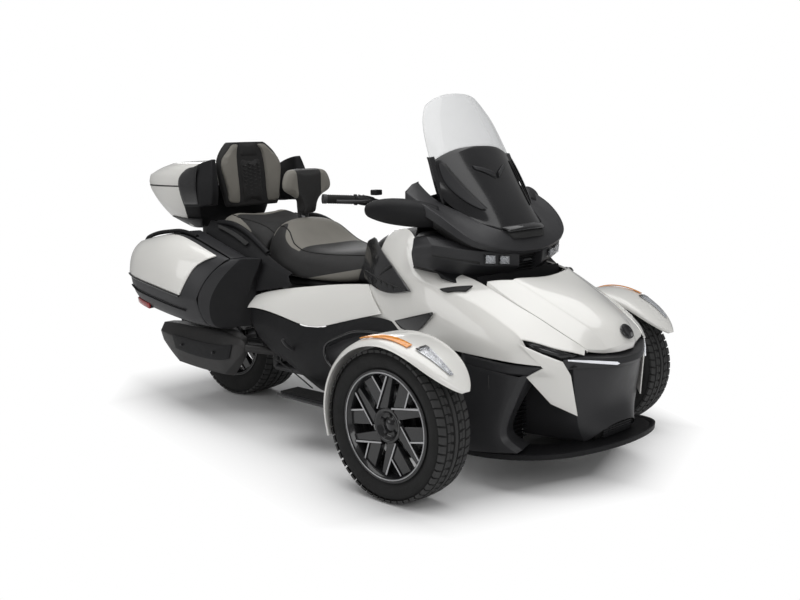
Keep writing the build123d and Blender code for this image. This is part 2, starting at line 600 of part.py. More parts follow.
SCREEN_T = 5
screen_levels = [(965, 896, 120, 48), (1010, 868, 200, 78), (1128, 772, 240, 105), (1240, 688, 232, 54),
                 (1330, 642, 218, 46), (1405, 601, 190, 30), (1464, 560, 60, 12)]


def screen_body(extra):
    """The bowed screen, each face moved out by an extra."""
    sections = []
    for z, x, half, bow in screen_levels:
        line = [(x - bow, -half), (x - 0.28 * bow, -0.6 * half), (x, 0), (x - 0.28 * bow, 0.6 * half),
                (x - bow, half)]
        sections.append(outline(Plane.XY.offset(z), [(a + extra, b) for a, b in line]
                                + [(a - SCREEN_T - extra, b) for a, b in reversed(line)]))
    with BuildPart(mode=Mode.PRIVATE) as body:
        loft(sections=sections, ruled=True)
    return body.part


fairing_stations = [
    (600, [(0, 1085), (275, 1110), (392, 1060), (400, 960), (385, 906)]),
    (700, [(0, 1010), (250, 1032), (335, 1026), (360, 960), (350, 904)]),
    (800, [(0, 950), (205, 985), (300, 975), (345, 955), (330, 910)]),
    (900, [(0, 905), (150, 928), (240, 905), (288, 890), (270, 868)]),
    (950, [(0, 880), (85, 878), (110, 862), (116, 848), (100, 838)]),
]
POST_Y = 110
with BuildPart() as fairing:
    loft(sections=[section(x, half) for x, half in fairing_stations], ruled=True)
    loft(sections=[section(x - 15, [(y and y - 15, z - 15) for y, z in half])
                   for x, half in fairing_stations], ruled=True, mode=Mode.SUBTRACT)
    loft(sections=[section(x, half) for x, half in beak_stations], ruled=True, mode=Mode.SUBTRACT)
    for y in [-POST_Y, POST_Y]:
        add(tube((805, y, 955), (846, y, 1010), 8))
    for y in [-300, 300]:
        add(tube((720, y, 898.5 + SEAT_GAP), (720, y, 1010), 8))
    add(screen_body(SEAT_GAP), mode=Mode.SUBTRACT)
export(fairing, "fairing")

# ---------------------------------------------------------------- windscreen and mirrors
with BuildPart() as windscreen:
    add(screen_body(0))
export(windscreen, "windscreen")

with BuildPart() as mirrors:
    loft(sections=[side(y, pts) for y, pts in [
        (400, [(700, 940), (700, 1010), (600, 1040), (560, 1000), (600, 930)]),
        (440, [(690, 945), (680, 1020), (590, 1050), (545, 1000), (590, 935)]),
        (520, [(640, 975), (630, 1020), (570, 1040), (545, 1005), (570, 965)])]], ruled=True)
    mirror(about=Plane.XZ)
export(mirrors, "mirrors")

# ---------------------------------------------------------------- console and tank cover
CONSOLE_BOTTOM_Z = SEAT_Z + TUBE_R + SEAT_GAP
knee_pad_levels = [
    (215, [(215, 712), (250, 845), (310, 858), (430, 800), (555, 760), (560, 665), (365, 699)]),
    (300, [(340, 705), (380, 740), (430, 740), (490, 725), (585, 695), (550, 662), (372, 699)]),
]
with BuildPart() as console:
    loft(sections=[section(x, half) for x, half in [
        (140, [(0, 800), (110, 795), (160, 740), (200, CONSOLE_BOTTOM_Z)]),
        (240, [(0, 885), (120, 876), (185, 800), (240, CONSOLE_BOTTOM_Z)]),
        (410, [(0, 925), (150, 918), (230, 820), (240, CONSOLE_BOTTOM_Z)]),
        (560, [(0, 905), (220, 900), (300, 780), (300, CONSOLE_BOTTOM_Z)]),
        (626, [(0, 900), (230, 880), (300, 800), (300, CONSOLE_BOTTOM_Z)])]], ruled=True)
    for hand in [-1, 1]:
        loft(sections=[side(hand * y, pts) for y, pts in knee_pad_levels], ruled=True)
    add(tube(column_top - column_axis * 400, column_top, HEAD_TUBE_R + 6), mode=Mode.SUBTRACT)
    for y in [-STAY_IN_Y, STAY_IN_Y]:
        add(tube((HEAD_X - 20, y, SEAT_Z), (COWL_STAY_X, y, COWL_STAY_Z), TUBE_R + SEAM), mode=Mode.SUBTRACT)
export(console, "console")

# ---------------------------------------------------------------- side covers and white side panels
SIDE_IN_Y = 300
with BuildPart() as side_covers:
    loft(sections=[side(y, pts) for y, pts in [
        (SIDE_IN_Y, [(620, 155), (620, 500), (350, 640), (180, 640), (40, 470), (-200, 310), (80, 225), (250, 160)]),
        (350, [(600, 165), (600, 490), (345, 620), (190, 620), (45, 450), (-170, 305), (85, 235), (250, 170)]),
        (385, [(570, 200), (570, 430), (340, 540), (230, 540), (90, 420), (-20, 320), (110, 270), (250, 210)])]],
        ruled=True)
    rib_y = RAIL_Y + TUBE_R + SEAT_GAP
    for x in [200, 500]:
        with Locations((x, -(rib_y + SIDE_IN_Y + 2) / 2, LOW_Z)):
            Box(20, SIDE_IN_Y + 2 - rib_y, 24)
    mirror(about=Plane.XZ)
export(side_covers, "side_covers")

with BuildPart() as side_panels:
    loft(sections=[side(y, pts) for y, pts in [
        (250, [(345, 690), (-400, 600), (-440, 540), (-430, 515), (-150, 575), (60, 520), (150, 640)]),
        (290, [(335, 685), (-390, 596), (-430, 540), (-420, 520), (-150, 575), (64, 525), (160, 640)]),
        (340, [(260, 660), (-340, 585), (-400, 548), (-390, 530), (-130, 565), (66, 540), (150, 620)])]],
        ruled=True)
    for x in [-300, 60]:
        extrude(outline(Plane.YZ.offset(x), [(-255, 580), (-255, 605), (-rib_y, SEAT_Z + 10),
                                             (-rib_y, SEAT_Z - 10)]), amount=20)
    mirror(about=Plane.XZ)
export(side_panels, "side_panels")

# ---------------------------------------------------------------- seats and backrests
SEAT_FRONT_X = 130
SEAT_BASE_Z = SEAT_Z + TUBE_R + SEAT_GAP
with BuildPart() as rider_seat:
    loft(sections=[section(x, half) for x, half in [
        (SEAT_FRONT_X, [(90, 790), (130, 770), (150, 700), (150, SEAT_BASE_Z)]),
        (20, [(120, 775), (190, 755), (220, 700), (215, SEAT_BASE_Z)]),
        (-180, [(150, 790), (225, 770), (245, 700), (240, SEAT_BASE_Z)]),
        (-330, [(150, 890), (215, 870), (245, 760), (240, SEAT_BASE_Z)]),
        (-415, [(130, 920), (190, 895), (235, 780), (230, SEAT_BASE_Z)])]], ruled=True)
export(rider_seat, "rider_seat")

PASSENGER_BASE_Z = TAIL_Z + TUBE_R + SEAT_GAP
PASSENGER_FRONT_X = -419
with BuildPart() as passenger_seat:
    loft(sections=[section(x, half) for x, half in [
        (PASSENGER_FRONT_X, [(130, 895), (180, 880), (220, 830), (225, PASSENGER_BASE_Z)]),
        (-600, [(130, 905), (190, 895), (235, 850), (235, PASSENGER_BASE_Z)]),
        (-745, [(130, 935), (190, 925), (230, 880), (230, PASSENGER_BASE_Z)])]], ruled=True)
export(passenger_seat, "passenger_seat")

with BuildPart() as rider_backrest:
    loft(sections=[outline(Plane.XY.offset(z), [(x, 0), (x + 20, half), (x - 20, half + 10), (x - 55, half - 30),
                                                (x - 60, 0), (x - 55, 30 - half), (x - 20, -half - 10),
                                                (x + 20, -half)])
                   for z, x, half in [(945, -340, 110), (1050, -355, 150), (1140, -370, 125)]], ruled=True)
    add(tube((-385, 0, 913.9), (-385, 0, 960), 12))
export(rider_backrest, "rider_backrest")

with BuildPart() as passenger_backrest:
    loft(sections=[outline(Plane.XY.offset(z), [(x, 0), (x + 25, half), (x - 20, half + 12), (x - 70, half - 20),
                                                (x - 75, 0), (x - 70, 20 - half), (x - 20, -half - 12),
                                                (x + 25, -half)])
                   for z, x, half in [(955, -750, 175), (1120, -762, 190), (1272, -785, 125)]], ruled=True)
    with Locations((-835.6, 0, 1015)):
        Box(70, 120, 70)
export(passenger_backrest, "passenger_backrest")

with BuildPart() as speaker_pods:
    loft(sections=[outline(Plane.XY.offset(z), pts) for z, pts in [
        (975, [(-700, -215), (-700, -300), (-830, -300), (-830, -215)]),
        (1060, [(-680, -225), (-670, -310), (-850, -315), (-850, -225)]),
        (1205, [(-700, -235), (-690, -290), (-800, -290), (-800, -235)])]], ruled=True)
    with Locations((-853, -228, 1042)):
        Box(35.4, 10, 16)
    mirror(about=Plane.XZ)
export(speaker_pods, "speaker_pods")

# ---------------------------------------------------------------- top case
CASE_SEAM_Z = 1055
CASE_PIVOT = (-862, 0, 1160)
CASE_HINGE_Y = 110
CASE_FLOOR_Z = RACK_TOP + SEAT_GAP
case_levels = [
    (CASE_FLOOR_Z, [(-950, 195), (-1120, 200), (-1150, 150), (-1150, 0)]),
    (900, [(-900, 215), (-1200, 235), (-1260, 180), (-1260, 0)]),
    (CASE_SEAM_Z, [(-870, 235), (-1310, 262), (-1395, 150), (-1405, 0)]),
]
lid_levels = [
    (CASE_SEAM_Z + SEAM, [(-870, 235), (-1310, 262), (-1395, 150), (-1405, 0)]),
    (1100, [(-870, 238), (-1300, 262), (-1400, 150), (-1416.5, 0)]),
    (1145, [(-872, 232), (-1230, 245), (-1290, 150), (-1300, 0)]),
    (1175, [(-876, 200), (-1100, 205), (-1160, 130), (-1170, 0)]),
]


def case_level(z, half, inset=0):
    """One plan-view outline of the top case, its wall taken in by an inset."""
    pts = [(x + inset * (1 if x < -1000 else -1), max(y - inset, 0)) for x, y in half]
    return level(z, pts[::-1])


with BuildPart() as topcase_base:
    loft(sections=[case_level(z, half) for z, half in case_levels], ruled=True)
    loft(sections=[case_level(z + (WALL if z < 880 else 0), half, WALL) for z, half in case_levels],
         ruled=True, mode=Mode.SUBTRACT)
    for y in [-CASE_HINGE_Y, CASE_HINGE_Y]:
        extrude(side(-y - 5, [(-879, 1020), (-856, 1020), (-856, CASE_PIVOT[2]), (-867, CASE_PIVOT[2]),
                              (-867, 1048), (-877, 1048)]), amount=10)
        add(tube((CASE_PIVOT[0], y - 16, CASE_PIVOT[2]), (CASE_PIVOT[0], y + 16, CASE_PIVOT[2]), HINGE_R))
export(topcase_base, "topcase_base")

with BuildPart() as topcase_lid:
    loft(sections=[case_level(z, half) for z, half in lid_levels], ruled=True)
    loft(sections=[case_level(z - (WALL if z > 1160 else 0), half, WALL) for z, half in lid_levels],
         ruled=True, mode=Mode.SUBTRACT)
    for y in [-CASE_HINGE_Y, CASE_HINGE_Y]:
        for shift in [-11, 11]:
            eye = Vector(*CASE_PIVOT) + Vector(0, y + shift, 0)
            with Locations(eye - Vector(8, 0, 0)):
                Box(14, 8, 12)
            add(tube(eye - Vector(0, 4, 0), eye + Vector(0, 4, 0), 9))
            add(tube(eye - Vector(0, 5, 0), eye + Vector(0, 5, 0), HINGE_R + PIN_GAP), mode=Mode.SUBTRACT)
export(topcase_lid, "topcase_lid")

# ---------------------------------------------------------------- panniers
PANNIER_SEAM_Y = 400
pannier_side = [(-440, 754), (-780, 858), (-1110, 800), (-1142, 700), (-1130, 600), (-1040, 500), (-520, 434)]
pannier_mid = [(-480, 740), (-790, 845), (-1090, 790), (-1125, 700), (-1115, 610), (-1030, 515), (-560, 450)]
pannier_face = [(-600, 660), (-800, 760), (-1010, 740), (-1060, 690), (-1050, 640), (-980, 570), (-680, 520)]
pannier_nose = [(-332, 752), (pannier_side[0][0] + 5, 756), (pannier_side[-1][0] + 5, 434), (-420, 430), (-350, 600)]
nose_seat = [(-332, 752), (pannier_side[0][0] + SEAT_GAP, 754), (pannier_side[-1][0] + SEAT_GAP, 434), (-420, 430),
             (-350, 600)]


pannier_low = Vector(-520, -PANNIER_SEAM_Y - SEAM / 2, 424)
pannier_edge = Vector(-520, 0, 66)

with BuildPart() as pannier_shells:
    extrude(side(PANNIER_IN_Y, pannier_side), amount=PANNIER_SEAM_Y - PANNIER_IN_Y)
    with BuildSketch(Plane.XZ.offset(PANNIER_IN_Y + WALL)):
        with BuildLine():
            Polyline(*pannier_side, close=True)
        make_face()
        offset(amount=-WALL, kind=Kind.INTERSECTION)
    extrude(amount=PANNIER_SEAM_Y, mode=Mode.SUBTRACT)
    for share in [0.25, 0.75]:
        mid = pannier_low + pannier_edge * share
        add(tube(mid - pannier_edge.normalized() * 40, mid + pannier_edge.normalized() * 40, 4))
        add(tube(mid - pannier_edge.normalized() * 12, mid + pannier_edge.normalized() * 12, 8))
        add(tube(mid, mid + Vector(0, 14, 14), 7))
    mirror(about=Plane.XZ)
export(pannier_shells, "pannier_shells")

with BuildPart() as pannier_noses:
    loft(sections=[side(y, pts) for y, pts in [
        (341, nose_seat),
        (PANNIER_SEAM_Y - SEAM, nose_seat),
        (PANNIER_SEAM_Y, pannier_nose),
        (450, [(-400, 740), (-440, 745), (-510, 450), (-460, 450), (-420, 600)])]], ruled=True)
    mirror(about=Plane.XZ)
export(pannier_noses, "pannier_noses")

for hand, name in [(-1, "pannier_lid_right"), (1, "pannier_lid_left")]:
    with BuildPart() as pannier_lid:
        loft(sections=[side(y, pts) for y, pts in [
            (PANNIER_SEAM_Y + SEAM, pannier_side), (480, pannier_mid), (541, pannier_face)]], ruled=True)
        with BuildSketch(Plane.XZ.offset(PANNIER_SEAM_Y)):
            with BuildLine():
                Polyline(*pannier_face, close=True)
            make_face()
        extrude(amount=541 - PANNIER_SEAM_Y - WALL, mode=Mode.SUBTRACT)
        for share in [0.25, 0.75]:
            for shift in [-26, 26]:
                eye = pannier_low + pannier_edge * share + pannier_edge.normalized() * shift
                add(tube(eye - pannier_edge.normalized() * 10, eye + pannier_edge.normalized() * 10, 8))
                add(tube(eye, eye + Vector(0, -14, 16), 6))
                add(tube(eye - pannier_edge.normalized() * 14, eye + pannier_edge.normalized() * 14,
                         4 + PIN_GAP), mode=Mode.SUBTRACT)
        if hand > 0:
            mirror(about=Plane.XZ)
            split(bisect_by=Plane.XZ, keep=Keep.BOTTOM)
    export(pannier_lid, name)

# ---------------------------------------------------------------- grab handles and footboards
with BuildPart() as grab_handles:
    for start, end in [((-350, -265, 770), (-440, -265, 830)), ((-440, -265, 830), (-560, -265, 895)),
                       ((-560, -265, 895), (-690, -265, 900))]:
        add(tube(start, end, 12))
        with Locations(end):
            Sphere(12)
    add(tube((KINK_X, -265, TAIL_Z + TUBE_R - 2 + SEAT_GAP), (KINK_X, -265, 898), 7))
    mirror(about=Plane.XZ)
export(grab_handles, "grab_handles")

with BuildPart() as footboards:
    extrude(side(385 + SEAT_GAP, [(-20, 205), (300, 200), (330, 240), (290, 222), (-20, 225)]), amount=115)
    mirror(about=Plane.XZ)
export(footboards, "footboards")

# ---------------------------------------------------------------- exhaust, rear fender and lamps
with BuildPart() as exhaust:
    loft(sections=[outline(Plane.YZ.offset(x), pts) for x, pts in [
        (-415, [(-320, 370), (-360, 370), (-380, 340), (-370, 310), (-330, 300), (-310, 330)]),
        (-545, [(-300, 400), (-370, 400), (-405, 330), (-380, 185), (-320, 180), (-285, 290)]),
        (-920, [(-300, 400), (-370, 400), (-405, 330), (-385, 205), (-320, 205), (-285, 290)]),
        (-1055, [(-310, 392), (-365, 392), (-390, 350), (-375, 290), (-325, 290), (-300, 340)])]], ruled=True)
    add(tube((-420, -345, 337), (-260, -141, 300), 20))
    add(tube((-260, -141, 300), (300, -141, 300), 20))
    add(tube((300, -141, 300), (300, -ENGINE_HALF_W - SEAT_GAP, 300), 20))
    with Locations((-260, -141, 300), (300, -141, 300)):
        Sphere(20)
export(exhaust, "exhaust")

PLATE_HOLE_R = 3
PLATE_HOLES = 145
PLATE_FACE_X = -1310
PLATE_Z = 430
with BuildPart() as rear_fender:
    with BuildSketch(Plane.XZ.offset(-130)):
        with BuildLine():
            Polyline((-1000, 700), (-1060, 722), (-1180, 700), (-1260, 420), (-1300, 330), (-1285, 320),
                     (-1235, 420), (-1160, 680), (-1060, 700), close=True)
        make_face()
    extrude(amount=260)
    extrude(side(-60, [(TAIL_X + 15, 700), (TAIL_X + 15, TAIL_Z - TUBE_R + 2 - SEAT_GAP),
                       (TAIL_X + 45, TAIL_Z - TUBE_R + 2 - SEAT_GAP), (TAIL_X + 45, 700)]), amount=120)
    with Locations((PLATE_FACE_X + 4, 0, PLATE_Z)):
        Box(8, 240, 90)
    for y in [-60, 60]:
        with Locations((PLATE_FACE_X + 30, y, PLATE_Z)):
            Box(60, 16, 50)
    with Locations(Plane(origin=(PLATE_FACE_X, 0, PLATE_Z), x_dir=(0, 1, 0), z_dir=(-1, 0, 0))):
        with GridLocations(PLATE_HOLES, 0, 2, 1):
            Hole(PLATE_HOLE_R, depth=10)
export(rear_fender, "rear_fender")

with BuildPart() as tail_lamps:
    extrude(side(320, [(-1131.6, 610), (-1142.5, 700), (-1113.7, 790), (-1140, 790), (-1158, 700), (-1145, 610)]),
            amount=70)
    mirror(about=Plane.XZ)
export(tail_lamps, "tail_lamps")

# ---------------------------------------------------------------- handlebar
with BuildPart() as handlebar:
    add(tube(column_top - column_axis * 320, column_top, COLUMN_R))
    for start, end in [((440, 0, 958), (440, -100, 958)), ((440, -100, 958), (330, -250, 1030)),
                       ((330, -250, 1030), (241, -430, 1044))]:
        add(tube(start, end, 12))
        with Locations(end):
            Sphere(12)
    add(tube((300, -310, 1035), (241, -430, 1044), 18))
    mirror(about=Plane.XZ)
export(handlebar, "handlebar")
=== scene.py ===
import math

import bmesh
import bpy
from mathutils import Matrix, Vector


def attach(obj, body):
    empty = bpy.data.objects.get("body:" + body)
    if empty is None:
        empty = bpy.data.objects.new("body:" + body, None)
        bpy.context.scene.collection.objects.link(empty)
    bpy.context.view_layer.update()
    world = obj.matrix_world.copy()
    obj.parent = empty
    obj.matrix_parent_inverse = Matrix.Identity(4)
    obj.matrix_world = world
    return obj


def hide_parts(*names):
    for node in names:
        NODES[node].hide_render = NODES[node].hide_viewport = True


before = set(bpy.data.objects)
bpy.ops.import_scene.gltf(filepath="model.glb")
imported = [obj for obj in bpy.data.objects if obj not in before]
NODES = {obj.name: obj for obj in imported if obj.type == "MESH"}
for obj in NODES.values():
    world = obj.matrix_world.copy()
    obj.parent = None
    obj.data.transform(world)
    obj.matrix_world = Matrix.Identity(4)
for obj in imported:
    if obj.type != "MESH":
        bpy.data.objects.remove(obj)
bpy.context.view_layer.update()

MM = 0.001

# Layout shared with the frame, in millimetres
FRONT_AXLE_X = 857
REAR_AXLE_X = -857
WHEEL_Y = 670
FRONT_TYRE_R = 281
REAR_TYRE_R = 303
FRONT_TYRE_W = 165
REAR_TYRE_W = 225
FRONT_RIM_W = 127
REAR_RIM_W = 178
FLANGE_R = 206
BEAD_R = 190                        # where the tyres sit on the rims
FRONT_FACE = 58                     # how far the spokes' face stands from the wheel's middle
REAR_FACE = 84
DISC_Y = 640
DISC_R = 135
DISC_INNER_R = 62

# How the control meshes become panels
MERGE_DISTANCE = 0.0002             # metres
BEVEL_ANGLE = 32                    # edges sharper than this, in degrees, are broken
CORE_HEIGHT = 0.45                  # the line that open skins face away from, in metres

# The camera, in metres and degrees
CAMERA_TARGET = Vector((0.233, 0.0, 0.577))
CAMERA_DISTANCE = 4.665
CAMERA_AZIMUTH = 44.1
CAMERA_ELEVATION = 9.1
CAMERA_ROLL = -1.2
CAMERA_LENS = 48.0


# ---------------------------------------------------------------- shader helpers
def operator(operation, swapped=False):
    """A method that does one sum with a Math node."""
    def apply(self, other=None):
        node = self.tree.nodes.new("ShaderNodeMath")
        node.operation = operation
        for slot, term in zip(node.inputs, (other, self) if swapped else (self, other)):
            if isinstance(term, Value):
                self.tree.links.new(term.socket, slot)
            elif term is not None:
                slot.default_value = term
        return Value(self.tree, node.outputs[0])
    return apply


class Value:
    """A number that varies over a surface. Arithmetic on it adds Math nodes."""

    def __init__(self, tree, socket):
        self.tree = tree
        self.socket = socket

    __add__ = operator("ADD")
    __radd__ = operator("ADD", swapped=True)
    __sub__ = operator("SUBTRACT")
    __rsub__ = operator("SUBTRACT", swapped=True)
    __mul__ = operator("MULTIPLY")
    above = operator("GREATER_THAN")
    below = operator("LESS_THAN")
    at_least = operator("MAXIMUM")
    size = operator("ABSOLUTE")
    wave = operator("SINE")


class Finish:
    """A material on the Principled shader, built from nodes that read the piece's own coordinates."""

    def __init__(self, name, roughness=0.5, metallic=0.0, **fixed):
        self.material = bpy.data.materials.new(name)
        self.material.use_nodes = True
        self.tree = self.material.node_tree
        self.shader = self.tree.nodes["Principled BSDF"]
        self.shader.inputs["Roughness"].default_value = roughness
        self.shader.inputs["Metallic"].default_value = metallic
        for key, value in fixed.items():
            self.shader.inputs[key.replace("_", " ")].default_value = value
        self.where = self.node("ShaderNodeTexCoord").outputs["Object"]

    def node(self, kind, settings=None, **sockets):
        """Adds a node: its settings first, then the values or links of its sockets."""
        node = self.tree.nodes.new(kind)
        for key, value in (settings or {}).items():
            setattr(node, key, value)
        for key, value in sockets.items():
            slot = node.inputs[int(key[1:])] if key[0] == "_" else node.inputs[key.replace("_", " ")]
            self.feed(slot, value)
        return node

    def feed(self, slot, value):
        """Links a socket to a value or another socket, or sets it. A tuple of three is a colour."""
        if isinstance(value, Value):
            value = value.socket
        if isinstance(value, bpy.types.NodeSocket):
            self.tree.links.new(value, slot)
        elif slot.type == "RGBA":
            slot.default_value = (*(value if isinstance(value, tuple) else (value,) * 3), 1.0)
        else:
            slot.default_value = value

    def noise(self, scale, detail=3.0, stretch=None):
        """A noise value from 0 to 1 at a scale in features to the metre."""
        where = self.where
        if stretch:
            where = self.node("ShaderNodeMapping", Vector=where, Scale=stretch).outputs[0]
        node = self.node("ShaderNodeTexNoise", Vector=where, Scale=scale, Detail=detail)
        return Value(self.tree, node.outputs["Fac"])

    def cells(self, scale):
        """The distance to the edge of the nearest cell, at a scale in cells to the metre."""
        node = self.node("ShaderNodeTexVoronoi", {"feature": "DISTANCE_TO_EDGE"}, Vector=self.where,
                         Scale=scale)
        return Value(self.tree, node.outputs["Distance"])

    def facing(self, blend):
        """0 where the surface faces the eye, rising to 1 at its edges."""
        return Value(self.tree, self.node("ShaderNodeLayerWeight", Blend=blend).outputs["Facing"])

    def axis(self, letter):
        """One coordinate of the surface point, in metres."""
        return Value(self.tree, self.node("ShaderNodeSeparateXYZ", Vector=self.where).outputs[letter])

    def blend(self, amount, low, high):
        """A colour between two, by an amount from 0 to 1. A single number is a grey."""
        node = self.node("ShaderNodeMix", {"data_type": "RGBA"}, Factor=amount)
        self.feed(node.inputs["A"], low)
        self.feed(node.inputs["B"], high)
        return node.outputs["Result"]

    def set(self, socket, value):
        """Feeds one input of the shader."""
        self.feed(self.shader.inputs[socket], value)

    def colour(self, amount, low, high):
        """Colours the surface between two colours."""
        self.set("Base Color", self.blend(amount, low, high))

    def rough(self, least, spread, scale):
        """Varies the roughness from its least by a noise."""
        self.set("Roughness", self.noise(scale) * spread + least)

    def bump(self, height, distance):
        """Raises the surface by a height field, distance metres deep, and ends the material."""
        self.set("Normal", self.node("ShaderNodeBump", Height=height, Distance=distance).outputs[0])
        return self.material


# ---------------------------------------------------------------- camera, floor and light
def stand(name, data, place, turn):
    """Puts a camera or a lamp in the scene."""
    thing = bpy.data.objects.new(name, data)
    bpy.context.collection.objects.link(thing)
    thing.location = place
    thing.rotation_mode = "QUATERNION"
    thing.rotation_quaternion = turn
    return thing


def place_camera():
    """Sets the camera where a viewer stands, ahead of the trike and to its right."""
    azimuth = math.radians(CAMERA_AZIMUTH)
    elevation = math.radians(CAMERA_ELEVATION)
    level = math.cos(elevation)
    away = Vector((math.sin(azimuth) * level, -math.cos(azimuth) * level, math.sin(elevation)))
    data = bpy.data.cameras.new("camera")
    data.sensor_width = 36.0
    data.lens = CAMERA_LENS
    turn = away.to_track_quat("Z", "Y") @ Matrix.Rotation(math.radians(CAMERA_ROLL), 3, "Z").to_quaternion()
    bpy.context.scene.camera = stand("camera", data, CAMERA_TARGET + away * CAMERA_DISTANCE, turn)


def area_light(name, place, aim, size, power):
    """A soft rectangular studio lamp aimed at a point."""
    data = bpy.data.lights.new(name, "AREA")
    data.shape = "RECTANGLE"
    data.size, data.size_y = size
    data.energy = power
    stand(name, data, place, (Vector(place) - Vector(aim)).to_track_quat("Z", "Y"))


def light_studio():
    """A large soft box overhead, a side fill and a low front fill, under a pale sky."""
    area_light("overhead", (0.3, -0.2, 3.6), (0.1, 0.0, 0.4), (4.6, 3.4), 96)
    area_light("front_fill", (4.4, -2.2, 2.2), (0.6, 0.0, 0.6), (2.6, 2.0), 46)
    area_light("side_fill", (-1.6, -4.2, 2.0), (-0.3, 0.0, 0.6), (3.0, 1.8), 30)
    area_light("rear_rim", (-3.6, 2.6, 2.6), (0.0, 0.0, 0.8), (2.4, 1.6), 40)
    world = bpy.data.worlds.new("studio")
    bpy.context.scene.world = world
    world.use_nodes = True
    new, wire = world.node_tree.nodes.new, world.node_tree.links.new
    background = world.node_tree.nodes["Background"]
    background.inputs["Color"].default_value = (1.0, 1.0, 1.0, 1.0)
    # The sky is plain white to the camera and dimmer as a light
    path = new("ShaderNodeLightPath")
    seen = new("ShaderNodeMath")
    seen.operation = "MAXIMUM"
    strength = new("ShaderNodeMapRange")
    strength.inputs["To Min"].default_value = 0.26
    wire(path.outputs["Is Camera Ray"], seen.inputs[0])
    wire(path.outputs["Is Transmission Ray"], seen.inputs[1])
    wire(seen.outputs[0], strength.inputs["Value"])
    wire(strength.outputs[0], background.inputs["Strength"])
    bpy.context.scene.view_settings.view_transform = "Standard"


def lay_floor():
    """A plain pale floor that keeps the object's shadow and fades to plain white away from it."""
    bpy.ops.mesh.primitive_plane_add(size=60.0, location=(0.0, 0.0, 0.0))
    floor = bpy.context.object
    floor.name = "floor"
    finish = Finish("floor_white", roughness=0.9, Specular_IOR_Level=0.1)
    finish.set("Base Color", 0.93)
    x, y = finish.axis("X"), finish.axis("Y")
    beside = (y.size() - x * 0.22 - 0.56) * 3.0
    ahead = (x + y.size() * 0.35 - 1.22) * 3.0
    behind = (x * -1.0 - 1.2) * 2.0
    camera = Value(finish.tree, finish.node("ShaderNodeLightPath").outputs["Is Camera Ray"])
    fade = (beside.at_least(0.0) + ahead.at_least(0.0) + behind.at_least(0.0)) * camera
    white = finish.node("ShaderNodeEmission", Color=1.0, Strength=1.0)
    mix = finish.node("ShaderNodeMixShader", Fac=fade, _1=finish.shader.outputs[0], _2=white.outputs[0])
    finish.tree.links.new(mix.outputs[0], finish.tree.nodes["Material Output"].inputs["Surface"])
    floor.data.materials.append(finish.material)


place_camera()
light_studio()
lay_floor()


# ---------------------------------------------------------------- finishes
def pearl_white():
    """Warm white body paint under clear coat, with a faint pearl and orange peel."""
    finish = Finish("pearl_white", roughness=0.34, Coat_Weight=1.0, Coat_Roughness=0.04,
                    Specular_IOR_Level=0.5)
    tint = finish.blend(finish.facing(0.35) * 0.7, (0.80, 0.79, 0.755), (0.66, 0.655, 0.63))
    flake = finish.noise(6.0) * 0.05 + finish.noise(2600.0, 1.0) * 0.06
    finish.colour(flake, tint, (0.88, 0.87, 0.85))
    finish.rough(0.3, 0.06, 40.0)
    return finish.bump(finish.noise(170.0, 1.0), 0.00004)


def satin_grey():
    """Dark grey moulded trim, satin, with a fine even grain."""
    finish = Finish("satin_grey", roughness=0.42, Specular_IOR_Level=0.34)
    shade = finish.noise(9.0) * 0.5 + finish.noise(700.0, 2.0) * 0.3
    finish.colour(shade, (0.021, 0.021, 0.023), (0.036, 0.036, 0.038))
    finish.rough(0.36, 0.12, 25.0)
    return finish.bump(finish.noise(2200.0, 2.0), 0.00006)


def grained_black():
    """Black moulded plastic with a pebbled grain."""
    finish = Finish("grained_black", roughness=0.55, Specular_IOR_Level=0.2)
    finish.colour(finish.noise(14.0) * 0.6, (0.007, 0.007, 0.008), (0.015, 0.015, 0.016))
    finish.rough(0.46, 0.14, 60.0)
    return finish.bump(finish.cells(900.0), 0.00018)


def gloss_black():
    """Gloss black paint on cast wheels and trim."""
    finish = Finish("gloss_black", roughness=0.2, Coat_Weight=0.55, Coat_Roughness=0.03,
                    Specular_IOR_Level=0.3)
    finish.colour(finish.noise(30.0), (0.008, 0.008, 0.009), (0.018, 0.018, 0.019))
    finish.rough(0.16, 0.12, 55.0)
    return finish.bump(finish.noise(240.0, 1.0), 0.00003)


def machined_face():
    """Bright-cut aluminium with fine tool marks."""
    finish = Finish("machined_face", roughness=0.34, metallic=1.0)
    marks = finish.noise(900.0, 2.0, stretch=(1.0, 1.0, 0.2))
    finish.colour(marks, (0.34, 0.34, 0.35), (0.56, 0.56, 0.57))
    finish.set("Roughness", marks * 0.2 + 0.26)
    return finish.bump(marks, 0.00003)


def tyre_rubber():
    """Tyre rubber: deep grey-black, a little lighter in blotches."""
    finish = Finish("tyre_rubber", roughness=0.8, Specular_IOR_Level=0.18)
    finish.colour(finish.noise(22.0) * 0.6 + finish.noise(240.0) * 0.3, 0.010, 0.030)
    finish.rough(0.62, 0.2, 80.0)
    return finish.bump(finish.noise(1500.0), 0.0001)


BLACK_LEATHER = (0.008, 0.008, 0.008), (0.022, 0.021, 0.021)
TAUPE_LEATHER = (0.145, 0.137, 0.120), (0.205, 0.195, 0.172)


